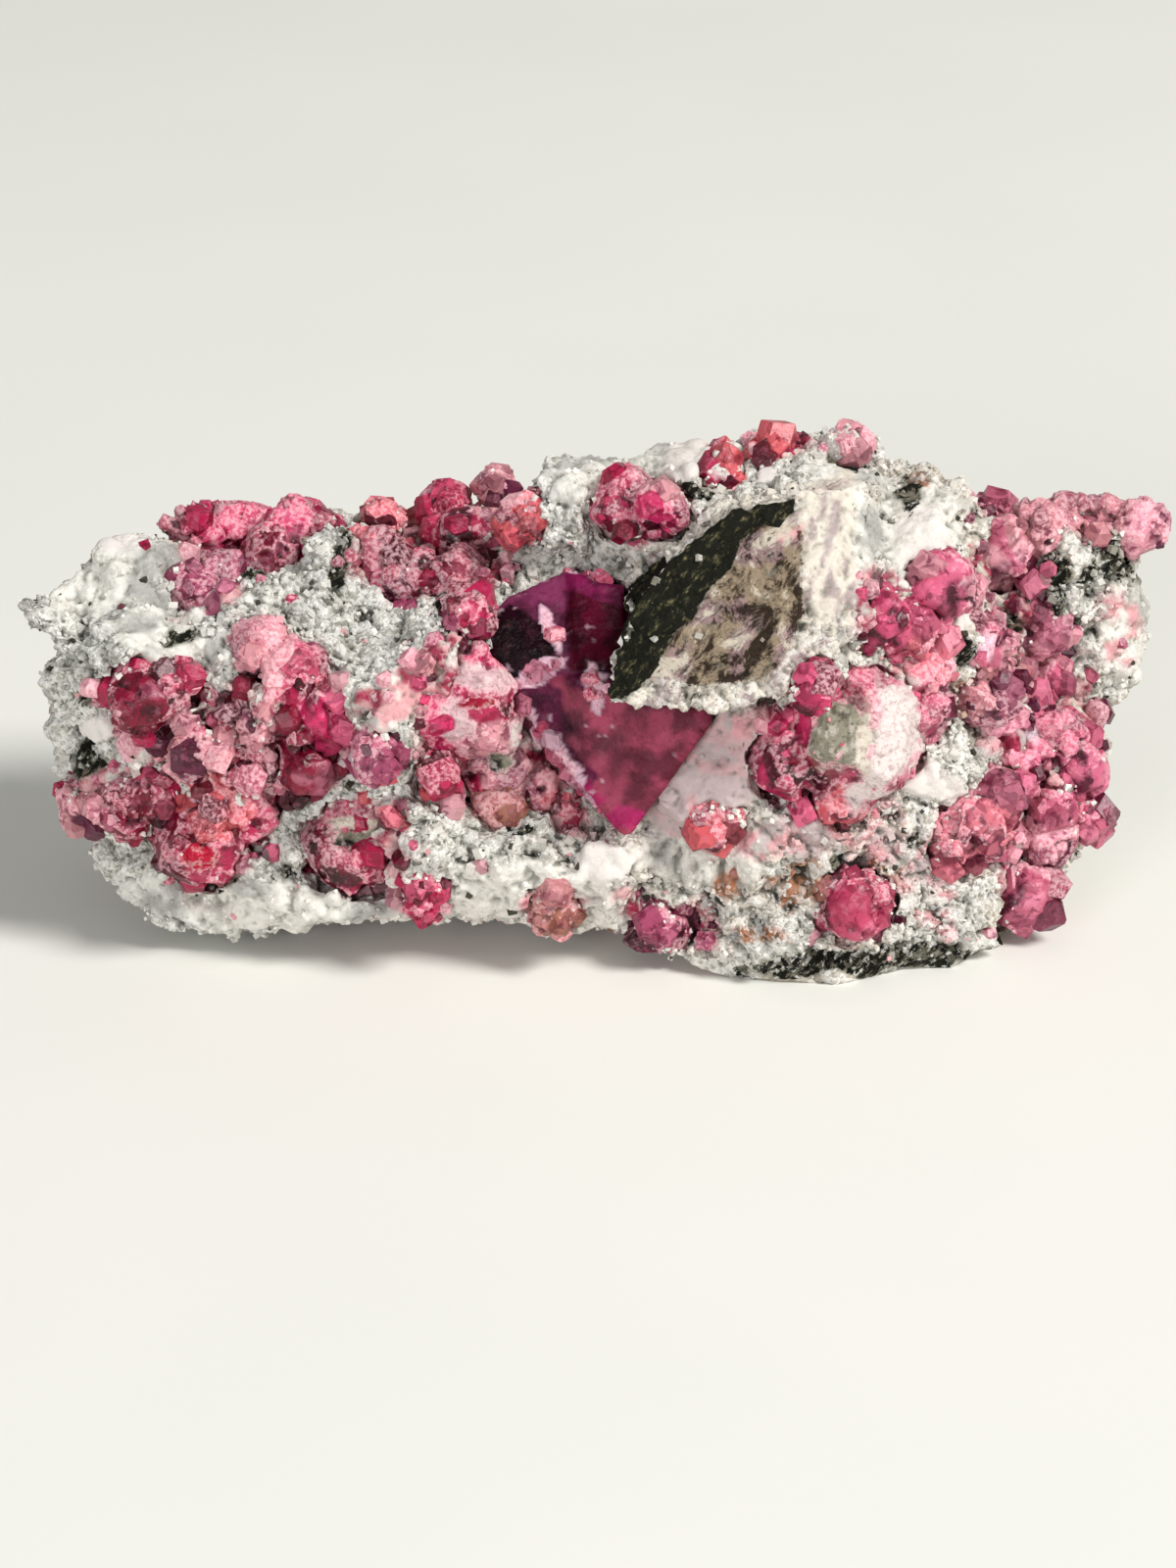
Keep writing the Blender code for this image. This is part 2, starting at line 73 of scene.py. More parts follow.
# Outlines on the picture plane, each (u, v)
WEDGE = [
    (1.3, 6.5), (4.4, 5.6), (8.1, 5.1), (11.4, 6.4), (14.6, 6.7), (16.6, 7.0), (19.9, 9.7),
    (21.7, 12.2), (22.0, 18.0), (21.9, 26.0), (18.7, 24.6), (14.5, 23.6), (10.9, 23.1), (7.3, 21.1),
    (4.6, 18.6), (2.8, 16.4), (2.2, 13.0), (1.6, 9.2),
]
WEDGE_DARK = [
    (1.6, 7.2), (2.4, 10.6), (2.6, 14.6), (3.5, 16.5), (4.5, 17.8), (6.6, 19.0), (9.1, 20.4),
    (11.7, 22.2), (14.0, 23.0), (17.3, 23.9), (17.3, 22.5), (15.8, 21.3), (14.3, 21.6), (12.6, 20.4),
    (11.7, 17.9), (9.8, 15.8), (8.7, 13.7), (7.0, 12.5), (5.7, 9.8), (4.3, 8.1), (2.9, 7.2),
]
WEDGE_CREAM = [
    (9.8, 15.8), (11.7, 17.9), (12.6, 20.4), (14.3, 21.6), (15.8, 21.3), (17.2, 22.5), (17.7, 19.4),
    (17.5, 16.9), (18.0, 14.6), (17.0, 12.3), (16.1, 9.8), (14.4, 8.6), (11.7, 8.3), (9.1, 8.3),
    (6.6, 9.0), (5.0, 8.4), (7.0, 12.5), (8.7, 13.7),
]

# Direction of the wedge's streaks on the picture plane
STREAK_TURN = math.radians(49.0)

# Zones of the rock: (u, v, half length, half width), and a turn in degrees where they have one
DARK_ZONES = [
    (21.5, -14.9, 10.4, 1.1, 4), (44.2, 19.2, 3.4, 2.1, 62), (41.5, 16.6, 2.4, 0.9, 75),
    (37.8, 17.0, 2.4, 2.6, 15), (33.6, 22.8, 1.5, 0.5), (34.8, 13.3, 1.0, 1.2),
    (-20.4, 18.9, 0.7, 3.2, -10), (-33.5, 12.4, 1.6, 1.0), (-41.5, 7.4, 0.7, 1.0),
    (-28.0, 17.0, 1.8, 0.5), (-41.5, 2.1, 1.3, 1.1), (-27.6, 7.7, 1.3, 0.5), (-26.9, -0.7, 0.7, 0.7),
    (-30.2, -7.9, 1.0, 0.5), (-24.8, -7.0, 0.8, 1.0), (-7.9, 21.1, 1.5, 1.0, -40),
    (-6.3, 17.9, 0.9, 0.6), (-12.0, 15.3, 0.9, 0.9), (-5.5, -3.5, 1.6, 0.6), (8.6, 24.3, 2.2, 0.7),
    (26.7, 23.8, 0.9, 1.5), (30.7, 11.0, 0.8, 1.5), (21.0, -6.7, 0.9, 0.6), (27.3, -4.9, 0.8, 0.7),
]
BLUSH_ZONES = [
    (-13.8, 8.1, 7.0, 1.6, 40), (-10.5, 4.9, 4.0, 4.6), (36.5, 12.0, 2.4, 3.6), (40.5, 22.3, 6.0, 1.6),
    (44.0, 13.0, 2.0, 3.0), (22.7, -3.2, 3.4, 2.2), (12.4, 4.6, 4.0, 1.0, 5), (16.6, 21.6, 1.2, 2.0),
    (9.0, -11.8, 3.4, 1.8, -20), (25.5, -6.8, 4.0, 2.4), (15.0, -5.0, 3.0, 1.6),
    (29.5, -11.0, 2.4, 2.0),
]
RUST_ZONES = [
    (-7.3, -2.3, 2.2, 1.1), (17.1, -8.4, 2.8, 2.0), (24.0, -8.0, 2.4, 1.2, 30), (11.6, -8.6, 1.4, 1.0),
    (14.0, -12.4, 2.4, 0.8), (27.2, 24.9, 1.0, 1.5), (32.8, 7.5, 2.6, 1.7), (38.0, 21.8, 2.4, 1.0),
]
LILAC_ZONES = [
    (35.3, 3.3, 2.2, 2.0), (10.6, 1.4, 4.2, 4.4), (8.2, -1.4, 4.4, 3.0), (17.6, -4.2, 3.4, 2.0),
    (24.7, -5.3, 1.8, 1.4), (-20.3, 2.0, 1.4, 1.8), (29.0, -7.0, 2.0, 1.2),
]
# White masses with a soft surface and few dark grains
MASS_ZONES = [
    (-39.5, 15.8, 5.0, 2.8, -15), (-34.6, 11.6, 5.0, 2.8, -38), (-35.5, 18.6, 4.0, 1.4, 12),
    (-24.5, -10.4, 13.5, 2.4, -6), (-5.0, -9.6, 8.0, 3.4, -5), (2.5, 26.2, 6.5, 2.0, 12),
    (20.8, 21.0, 3.8, 7.0), (-16.0, 6.8, 6.6, 1.7, 60), (45.5, 13.2, 2.8, 5.0, -15),
    (27.6, 20.7, 3.2, 4.4), (10.0, -6.0, 6.0, 2.4),
]
SMOOTH_ZONES = [
    (8.1, 26.8, 2.2, 1.6, 30), (1.3, -6.3, 2.8, 1.9), (27.7, 0.4, 1.9, 1.6), (30.1, -0.4, 1.4, 1.1),
    (27.6, 20.7, 2.2, 2.8), (15.0, 25.6, 0.9, 0.8), (25.7, 4.3, 1.5, 4.4, -8),
    (-38.1, 20.5, 2.4, 1.0, 20), (-40.8, 4.4, 1.6, 1.0), (31.1, 14.3, 1.0, 1.9, -20),
]
# White fibres that stand side by side
FIBRE_ZONES = [(9.2, -7.3, 3.4, 2.4), (3.4, -9.6, 2.4, 1.6)]
# The left end's outline, bottom up: (v, u)
LEFT_EDGE = [
    (-9.7, -37.9), (-6.5, -41.8), (-4.1, -43.1), (-1.1, -44.4), (0.9, -44.1), (1.9, -43.6),
    (3.6, -43.8), (5.6, -43.0), (6.9, -42.4), (7.8, -43.6), (9.1, -43.8), (10.4, -42.8), (11.7, -42.4),
    (13.0, -43.8), (14.0, -45.4), (15.4, -46.3), (16.2, -46.2), (17.0, -45.0),
]
# Where small garnets crowd between the larger ones
DRUSE_ZONES = [
    (-28.5, 21.0, 5.8, 2.2, 12), (-31.0, 16.3, 2.4, 1.5, 20), (-33.0, 4.5, 6.6, 4.4),
    (-24.5, 3.6, 5.0, 5.6), (-38.5, -0.8, 4.2, 2.0), (-31.0, -4.5, 4.4, 3.2), (-19.0, -4.6, 4.4, 4.0),
    (-13.2, 19.0, 6.0, 4.0), (-14.2, 9.8, 7.0, 1.0, 38), (-9.5, 5.8, 4.4, 5.2), (-7.5, -0.4, 4.2, 2.2),
    (5.0, 22.3, 4.2, 2.4), (24.2, 14.6, 2.2, 3.2), (18.8, 3.2, 5.6, 5.6), (27.6, 10.4, 2.4, 6.0),
    (34.4, 16.0, 3.2, 4.0), (38.0, 4.4, 4.2, 8.2), (32.0, -4.2, 3.2, 2.4), (36.5, -5.8, 2.2, 4.2),
    (22.0, -10.2, 2.4, 2.2), (11.0, -3.0, 2.2, 1.6), (6.4, -11.0, 4.2, 1.2, -22),
    (-2.6, 1.4, 2.6, 1.1, -45), (-2.6, -1.6, 2.6, 1.2, -20), (-3.0, -10.2, 2.6, 1.1),
    (-14.0, -10.0, 2.2, 2.0), (40.5, 22.4, 6.6, 1.3), (14.0, 28.0, 5.2, 0.6),
]

# Crystal colours, the places (u, v) whose crystals have them, and how far from a place they reach
RASPBERRY = np.array([0.54, 0.016, 0.09])
TINT_REACH = 2.9
TINTS = {
    (0.72, 0.03, 0.15): [
        (-21.4, 5.2), (18.6, 7.9), (24.1, 13.9), (27.8, 5.4), (38.1, 3.6), (-29.8, 21.2), (37.7, 8.0),
        (22.0, 19.0), (4.6, 21.6), (17.0, 5.0), (41.0, 0.0), (-25.6, 22.6), (39.6, 5.8), (36.0, 1.6),
        (29.0, 16.2), (31.0, 18.0), (14.6, 2.4), (17.6, -0.6), (-13.2, 8.0), (-13.4, 5.0), (-8.0, 11.0),
    ],
    (0.25, 0.002, 0.03): [
        (-23.0, 1.1), (38.0, 12.6), (-28.0, 1.0), (-10.0, 18.0), (34.0, -0.8), (-24.4, 3.2),
        (-33.6, 5.0), (-26.1, 19.6), (18.0, 1.0), (3.2, 19.4), (-39.0, -1.6), (-13.4, 16.0),
        (-37.0, 6.6), (-29.6, 6.6), (-36.0, -3.4), (-17.0, 18.0), (-22.6, -6.4), (-2.8, 2.4),
    ],
    (0.78, 0.13, 0.15): [
        (-30.3, -1.6), (31.2, -4.1), (29.4, -4.6), (10.5, -3.1), (28.2, 9.4), (-5.2, 21.9),
        (20.8, -2.6), (-16.6, 21.6), (24.2, 19.8), (13.0, 27.8), (33.4, -2.6), (18.8, -4.6),
        (-15.6, -1.0), (-2.6, -1.6),
    ],
    (0.76, 0.34, 0.37): [
        (-33.2, 2.7), (-27.6, 4.3), (-7.2, 2.6), (32.2, 17.2), (41.4, 12.7), (37.9, -5.2),
        (-27.2, 11.2), (46.6, 21.0), (-7.6, 24.1), (24.6, 3.6), (-41.8, -2.4), (-12.6, 9.6),
        (26.4, 18.0), (37.0, 10.8), (-3.4, 0.6), (14.0, 6.6), (-1.4, 25.4), (6.4, 25.4), (20.8, 28.0),
    ],
    (0.40, 0.07, 0.15): [
        (-19.6, 12.0), (-15.9, 15.9), (-32.4, 15.8), (-30.3, 17.0), (6.2, -11.4), (-17.4, 2.0),
        (-13.6, 13.6), (9.0, -12.4), (4.0, -10.4), (35.6, 6.4),
    ],
    (0.42, 0.165, 0.115): [
        (-7.3, -2.5), (32.8, 7.0), (37.3, 21.0), (39.7, 21.8), (43.0, 21.8), (16.6, -8.4),
        (-3.0, -10.2), (14.8, -6.0),
    ],
}
# Clean, glossy crystals
CLEAN_SPOTS = [
    (-23.0, 1.1), (18.6, 7.9), (24.1, 13.9), (29.0, 16.2), (34.0, -0.8), (35.9, -9.4), (22.0, -10.2),
    (38.0, 12.6), (37.5, 8.0), (-37.0, 7.1), (33.0, 10.6), (33.7, 18.8), (41.0, 0.6), (-21.4, 5.2),
]
# Patches on the crystals: a colour and its zones, among them painted shade in slits and a painted
# highlight
CRYSTAL_PATCHES = [
    ((0.74, 0.64, 0.62), [
        (25.4, 4.4, 2.1, 4.6, -8), (23.2, -0.2, 2.4, 1.3, 35), (-5.1, 4.3, 1.8, 1.5),
    ]),
    ((0.25, 0.24, 0.18), [(21.0, 4.0, 2.3, 3.0), (-19.3, -4.5, 1.8, 1.1), (-7.3, 1.9, 1.2, 0.9)]),
    # Painted shade: near-black slits in the grey-green cores
    ((0.02, 0.02, 0.015), [(23.0, 5.2, 0.35, 1.3), (-20.0, -4.9, 0.9, 0.5), (-7.8, 1.6, 0.6, 0.5)]),
    ((0.42, 0.008, 0.035), [(-32.0, -5.8, 1.9, 0.9)]),
    ((0.66, 0.60, 0.50), [(22.9, 3.9, 0.6, 3.0, -5), (-19.3, -3.2, 1.8, 0.5)]),
    ((0.68, 0.66, 0.62), [
        (21.4, 28.4, 2.6, 1.6), (4.8, 27.0, 1.6, 0.9), (11.3, 26.6, 2.2, 1.3), (15.6, 27.4, 2.2, 0.9),
    ]),
    # Painted highlight: a pale pink face where a crystal catches the light
    ((0.86, 0.55, 0.66), [(33.0, 11.3, 0.9, 1.4, -20)]),
    ((0.66, 0.44, 0.47), [(-9.3, 8.8, 2.8, 1.1, -15), (-10.8, 5.6, 1.1, 2.4, 10)]),
    ((0.30, 0.008, 0.03), [(-9.3, 6.8, 1.6, 0.5, 10)]),
    ((0.56, 0.44, 0.50), [(35.0, 3.8, 1.9, 2.0), (-20.0, 1.9, 1.1, 1.6)]),
]
PALE_FACE = [(10.6, 1.4, 4.0, 4.2), (8.2, -1.4, 4.4, 3.0)]
# The great crystal's faces: a colour, which is its own wine with painted shade, darkest under the
# overhang, how far the face stands out in millimetres, and its outline
GREAT_FACES = [
    ((0.010, 0.0, 0.003), 0.0, [
        (-9.8, 12.2), (-6.5, 15.0), (-4.0, 13.4), (-2.4, 11.8), (-4.0, 8.9), (-7.4, 7.6),
    ]),
    ((0.060, 0.0, 0.010), 0.6, [(-2.0, 17.8), (2.8, 16.2), (3.4, 11.4), (1.6, 9.4), (-1.6, 9.2)]),
    ((0.13, 0.006, 0.045), 0.0, [(-2.0, 18.4), (2.8, 16.6), (2.9, 14.6), (-2.0, 15.6)]),
    ((0.26, 0.042, 0.078), 0.5, [
        (-6.2, 8.0), (-1.6, 9.2), (1.6, 9.4), (12.0, 7.0), (3.1, -5.0), (-2.4, 0.6),
    ]),
]
# Its bright crumbly tip, its painted shade and its pale crust
GREAT_TIP = [(2.4, -2.9, 1.9, 1.0, 20), (0.4, -0.6, 1.4, 0.5, -50)]
GREAT_SHADE = [
    (-3.6, 6.0, 2.0, 3.4, 34), (7.0, 7.2, 4.6, 0.9, -4), (0.2, 8.6, 2.4, 1.0),
    (-1.6, 2.2, 3.4, 0.9, -52),
]
GREAT_CRUST = [
    (-2.9, 12.4, 2.1, 0.45, -66), (-3.9, 9.3, 2.3, 0.7, 33), (-1.5, 18.2, 4.8, 0.9, -8),
    (-7.6, 16.2, 2.6, 0.9, 40), (-8.6, 8.6, 2.0, 1.0, -60), (-4.3, 5.2, 2.4, 0.5, -52),
    (-1.4, 1.4, 2.6, 0.8, -52), (0.9, -1.9, 1.6, 0.5, -52), (0.5, 8.2, 0.7, 1.9, 12),
]

PALE_ROCK = np.array([0.79, 0.765, 0.71])
COOL_ROCK = np.array([0.70, 0.69, 0.65])
WARM_ROCK = np.array([0.72, 0.655, 0.57])
SHADOW_ROCK = np.array([0.27, 0.26, 0.23])
# Painted shade for the rock's crevices
CREVICE_SHADE = np.array([0.15, 0.145, 0.12])
DARK_ROCK = np.array([0.012, 0.011, 0.007])
MOSS_ROCK = np.array([0.085, 0.078, 0.042])
CREAM_ROCK = np.array([0.27, 0.205, 0.14])
BROKEN_LILAC = np.array([0.28, 0.185, 0.185])
PINK_ROCK = np.array([0.72, 0.36, 0.38])
BERRY_ROCK = np.array([0.34, 0.03, 0.07])
RUST_ROCK = np.array([0.40, 0.17, 0.09])
LILAC_ROCK = np.array([0.48, 0.37, 0.38])
PORCELAIN = np.array([0.76, 0.71, 0.67])
RIM_ROCK = np.array([0.72, 0.655, 0.575])
CRUST_PINK = np.array([0.74, 0.38, 0.42])
LAVENDER_CRUST = np.array([0.70, 0.46, 0.56])
MILKY_PINK = np.array([0.84, 0.34, 0.46])
# Painted shade for the crystals' hollows
WINE_HOLLOW_SHADE = np.array([0.05, 0.0, 0.008])
# Painted shade for the rock's deep gaps between the garnets
GAP_SHADE = np.array([0.035, 0.034, 0.022])
GREAT_SIDES = np.array([0.12, 0.018, 0.055])
GREAT_PINK = np.array([0.42, 0.015, 0.12])


# Noise


def lattice(cells, seed):
    """A fixed random value from 0 to 1 for each whole-numbered cell."""
    h = cells[..., 0] * 73856093 ^ cells[..., 1] * 19349663 ^ cells[..., 2] * 83492791 ^ seed * 40503
    h = h & 0xFFFFFFFF
    for _ in range(2):
        h = ((h ^ (h >> 16)) * 0x45D9F3B) & 0xFFFFFFFF
    return (h ^ (h >> 16)) / 4294967295.0


def soft_noise(points, size, seed):
    """Smooth noise from 0 to 1 whose bumps are that many millimetres wide."""
    place = points / size
    cell = np.floor(place).astype(np.int64)
    part = place - cell
    part = part * part * (3 - 2 * part)
    total = np.zeros(len(points))
    for corner in product((0, 1), repeat=3):
        share = np.where(np.array(corner) == 1, part, 1 - part).prod(axis=1)
        total += share * lattice(cell + np.array(corner), seed)
    return total


def rough_noise(points, size, seed, octaves=3):
    """Soft noise with finer noise on it, from about 0 to 1."""
    total = np.zeros(len(points))
    weight = 0.0
    for octave in range(octaves):
        total += soft_noise(points, size / 2**octave, seed + octave) / 2**octave
        weight += 1 / 2**octave
    return total / weight


def cells(points, size, seed):
    """Jumbled cells that wide: each point's offset from its cell's middle, and the cell.

    The third value is how much farther the next cell's middle is.
    """
    place = points / size
    home = np.floor(place).astype(np.int64)
    first = np.full(len(points), 9.0)
    second = first.copy()
    offset = np.zeros((len(points), 3))
    nearest = home.copy()
    for shift in product((-1, 0, 1), repeat=3):
        cell = home + np.array(shift)
        away = place - cell - np.stack([lattice(cell, seed + axis) for axis in range(3)], axis=1)
        distance = np.linalg.norm(away, axis=1)
        nearer = distance < first
        second = np.where(nearer, first, np.minimum(second, distance))
        first = np.where(nearer, distance, first)
        offset[nearer] = away[nearer]
        nearest[nearer] = cell[nearer]
    return offset, nearest, second - first


def clumps(points, size, seed):
    """Rounded clumps that are that many millimetres wide, from 0 in the gaps to 1."""
    lead = cells(points, size, seed)[2]
    return np.sqrt(np.clip(lead * 1.6, 0, 1))


def facets(points, size, seed):
    """Flat facets about that wide: heights from about -0.3 to 0.3, and each facet's value, 0 to 1."""
    offset, cell, _ = cells(points, size, seed)
    tilt = np.stack([lattice(cell, seed + 5 + axis) for axis in range(3)], axis=1) - 0.5
    return (offset * tilt).sum(axis=1), lattice(cell, seed + 3)


def ramp(values, low, high):
    """0 below low, 1 above high, and smooth between."""
    share = np.clip((values - low) / (high - low), 0, 1)
    return share * share * (3 - 2 * share)


def blots(points, size, seed, low, high):
    """Blots of rough noise, from 0 outside to 1 inside."""
    return ramp(rough_noise(points, size, seed), low, high)


def mixed(colours, other, share):
    """One colour, or each point's colour, turned into the other by each point's share."""
    return colours + (other - colours) * share[:, None]


# The picture plane


def picture(points):
    """The picture place (u, v) of each point."""
    away = points - EYE
    scale = EYE_DISTANCE / (away @ FORWARD)
    return np.stack([away[:, 0] * scale, (away @ UP) * scale], axis=1)


def facing(points, normals):
    """1 for points on the side that the picture shows, 0 for those turned away."""
    back = EYE - points
    back /= np.linalg.norm(back, axis=1)[:, None]
    return ramp((normals * back).sum(axis=1), -0.25, 0.1)


def zone(at, ellipses, ragged=0.0):
    """1 for picture places inside the ellipses and 0 outside, their rims moved out by ragged."""
    inside = np.zeros(len(at))
    for u, v, half_length, half_width, *turn in ellipses:
        angle = math.radians(sum(turn))
        c = math.cos(angle)
        s = math.sin(angle)
        along = ((at[:, 0] - u) * c + (at[:, 1] - v) * s) / half_length
        across = ((at[:, 1] - v) * c - (at[:, 0] - u) * s) / half_width
        inside = np.maximum(inside, 1.2 - np.hypot(along, across) + ragged)
    return ramp(inside, 0.0, 0.4)


def depth_inside(at, outline):
    """How many millimetres inside the outline each picture place lies, negative outside."""
    corners = np.array(outline)
    nearest = np.full(len(at), 1e9)
    inside = np.zeros(len(at), bool)
    for start, end in zip(corners, np.roll(corners, -1, axis=0)):
        edge = end - start
        along = np.clip((at - start) @ edge / (edge @ edge), 0, 1)
        nearest = np.minimum(nearest, np.hypot(*(at - start - along[:, None] * edge).T))
        spans = (start[1] > at[:, 1]) != (end[1] > at[:, 1])
        crossing = start[0] + (at[:, 1] - start[1]) * edge[0] / (edge[1] or 1e-9)
        inside ^= spans & (at[:, 0] < crossing)
    return np.where(inside, nearest, -nearest)


def layers(at, turn, length, width):
    """Places stretched along that direction of the picture, for noise in long streaks."""
    c = math.cos(turn)
    s = math.sin(turn)
    along = (at[:, 0] * c + at[:, 1] * s) / length
    across = (at[:, 1] * c - at[:, 0] * s) / width
    return np.stack([along, across, np.zeros(len(at))], axis=1)


# Meshes


class Surface:
    """A closed triangle mesh in millimetres."""

    def __init__(self, node, voxel):
        """The node's surface, meshed evenly and finely."""
        obj = bpy.data.objects.new("meshing", node.data.copy())
        bpy.context.scene.collection.objects.link(obj)
        remesh = obj.modifiers.new("remesh", "REMESH")
        remesh.mode = "VOXEL"
        remesh.voxel_size = voxel * MM
        obj.modifiers.new("triangulate", "TRIANGULATE")
        bpy.context.view_layer.update()
        mesh = bpy.data.meshes.new_from_object(obj.evaluated_get(bpy.context.evaluated_depsgraph_get()))
        bpy.data.objects.remove(obj)
        flat = np.empty(len(mesh.vertices) * 3, np.float32)
        mesh.vertices.foreach_get("co", flat)
        self.points = flat.reshape(-1, 3).astype(float) / MM
        corners = np.empty(len(mesh.loops), np.int32)
        mesh.loops.foreach_get("vertex_index", corners)
        self.triangles = corners.reshape(-1, 3)
        bpy.data.meshes.remove(mesh)

    def summed(self, corners, values):
        """Each point's total of the values, which belong to those corners."""
        columns = [np.bincount(corners, values[:, axis], len(self.points)) for axis in range(3)]
        return np.stack(columns, axis=1)

    def normals(self):
        a, b, c = (self.points[self.triangles[:, corner]] for corner in range(3))
        across = np.cross(b - a, c - a)
        total = self.summed(self.triangles.ravel(), np.repeat(across, 3, axis=0))
        return total / (np.linalg.norm(total, axis=1)[:, None] + 1e-12)

    def smooth(self, rounds, hold):
        """Draws each point towards its neighbours' middle, less where hold is near 1."""
        starts = self.triangles.ravel()
        ends = np.roll(self.triangles, -1, axis=1).ravel()
        count = np.bincount(starts, minlength=len(self.points))[:, None]
        for _ in range(rounds):
            middle = self.summed(starts, self.points[ends]) / count
            self.points += 0.5 * (1 - hold)[:, None] * (middle - self.points)

    def hollows(self, rounds):
        """How many millimetres each point lies below its smoothed surroundings, negative on knobs."""
        rough = self.points.copy()
        self.smooth(rounds, np.zeros(len(rough)))
        depth = ((self.points - rough) * self.normals()).sum(axis=1)
        self.points = rough
        return depth

    def raise_by(self, height):
        """Moves each point outward, and none below the floor."""
        self.points += self.normals() * height[:, None]
        self.points[:, 2] = np.maximum(self.points[:, 2], 0.0)

    def sprinkle(self, draw, weights, count):
        """Random places, more where points weigh more, with outward directions and a near point."""
        a, b, c = (self.points[self.triangles[:, corner]] for corner in range(3))
        area = np.linalg.norm(np.cross(b - a, c - a), axis=1)
        chance = area * weights[self.triangles].mean(axis=1)
        picked = self.triangles[draw.choice(len(chance), size=count, p=chance / chance.sum())]
        share = draw.dirichlet((1, 1, 1), size=count)[:, :, None]
        places, outward = ((each[picked] * share).sum(axis=1) for each in (self.points, self.normals()))
        return places, outward, picked[:, 0]


def make_piece(name, points, triangles, tint, material, smooth=True):
    """A piece whose points carry the tint: a colour and a fourth value that the material reads."""
    mesh = bpy.data.meshes.new(name)
    mesh.vertices.add(len(points))
    mesh.vertices.foreach_set("co", (points * MM).astype(np.float32).ravel())
    mesh.loops.add(triangles.size)
    mesh.loops.foreach_set("vertex_index", triangles.astype(np.int32).ravel())
    mesh.polygons.add(len(triangles))
    mesh.polygons.foreach_set("loop_start", np.arange(0, triangles.size, 3, dtype=np.int32))
    mesh.polygons.foreach_set("use_smooth", np.full(len(triangles), smooth))
    mesh.update(calc_edges=True)
    attribute = mesh.attributes.new("tint", "FLOAT_COLOR", "POINT")
    attribute.data.foreach_set("color", tint.astype(np.float32).ravel())
    mesh.materials.append(material)
    piece = bpy.data.objects.new(name, mesh)
    bpy.context.scene.collection.objects.link(piece)
    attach(piece, "root")
    return piece


def with_fourth(colours, fourth):
    return np.concatenate([np.clip(colours, 0, 1), np.clip(fourth, 0, 1)[:, None]], axis=1)


def random_turns(draw, count):
    """Rotation matrices in every direction."""
    q = draw.normal(size=(count, 4))
    w, x, y, z = (q / np.linalg.norm(q, axis=1)[:, None]).T
    rows = [
        [1 - 2 * (y * y + z * z), 2 * (x * y - w * z), 2 * (x * z + w * y)],
        [2 * (x * y + w * z), 1 - 2 * (x * x + z * z), 2 * (y * z - w * x)],
        [2 * (x * z - w * y), 2 * (y * z + w * x), 1 - 2 * (x * x + y * y)],
    ]
    return np.array(rows).transpose(2, 0, 1)


class Crumbs:
    """Many small solids that end up in one mesh."""

    def __init__(self):
        self.points = []
        self.triangles = []
        self.tints = []
        self.count = 0

    def add(self, form, places, turns, sizes, tints):
        """Adds a copy of the form, its corners and triangles, at each place."""
        corners, triangles = form
        points = np.einsum("nij,nkj->nki", turns, corners) * sizes[:, None, None] + places[:, None]
        points[:, :, 2] = np.maximum(points[:, :, 2], 0.02)
        solids, each = points.shape[:2]
        starts = self.count + np.arange(solids) * each
        self.points.append(points.reshape(-1, 3))
        self.triangles.append((triangles[None] + starts[:, None, None]).reshape(-1, 3))
        self.tints.append(np.repeat(tints, each, axis=0))
        self.count += solids * each

    def finish(self, name, material):
        arrays = (np.concatenate(each) for each in (self.points, self.triangles, self.tints))
        return make_piece(name, *arrays, material, smooth=False)


# Crystal and grain forms

DODECAHEDRON = [
    Vector(n).normalized()
    for a, b in ((1, 1), (1, -1), (-1, 1), (-1, -1))
    for n in ((a, b, 0), (a, 0, b), (0, a, b))
]
TRAPEZOHEDRON = [
    Vector(n).normalized()
    for a, b, c in product((1, -1), repeat=3)
    for n in ((2 * a, b, c), (a, 2 * b, c), (a, b, 2 * c))
]
GARNET_FACES = np.array(DODECAHEDRON + TRAPEZOHEDRON)
BLOCK_CORNERS = np.array(list(product((-1, 1), repeat=3)), float)
BLOCK_TRIANGLES = np.array([
    (0, 1, 3), (0, 3, 2), (4, 6, 7), (4, 7, 5), (0, 4, 5), (0, 5, 1),
    (2, 3, 7), (2, 7, 6), (0, 2, 6), (0, 6, 4), (1, 5, 7), (1, 7, 3),
])


def grain_forms(draw, count):
    """Corners of that many broken grains of radius 1, and their triangles."""
    stretch = draw.uniform(0.7, 1.2, (count, 1, 3))
    return BLOCK_CORNERS * stretch * draw.uniform(0.72, 1.15, (count, 8, 3)) * 0.62, BLOCK_TRIANGLES


def crystal_form(draw):
    """Corners and triangles of an irregular garnet crystal of radius 1."""
    bm = bmesh.new()
    bmesh.ops.create_cube(bm, size=4.0)
    for normal in DODECAHEDRON:
        everything = bm.verts[:] + bm.edges[:] + bm.faces[:]
        place = normal * draw.uniform(0.78, 1.08)
        cut = bmesh.ops.bisect_plane(
            bm, geom=everything, plane_co=place, plane_no=normal, clear_outer=True
        )
        rim = [e for e in cut["geom_cut"] if isinstance(e, bmesh.types.BMEdge) and e.is_boundary]
        if rim:
            bmesh.ops.edgeloop_fill(bm, edges=rim)
    bmesh.ops.remove_doubles(bm, verts=bm.verts[:], dist=0.1)
    bmesh.ops.recalc_face_normals(bm, faces=bm.faces[:])
    bmesh.ops.triangulate(bm, faces=bm.faces[:])
    bm.verts.index_update()
    corners = np.array([v.co[:] for v in bm.verts])
    triangles = np.array([[v.index for v in f.verts] for f in bm.faces])
    bm.free()
    return corners[None], triangles


# Materials


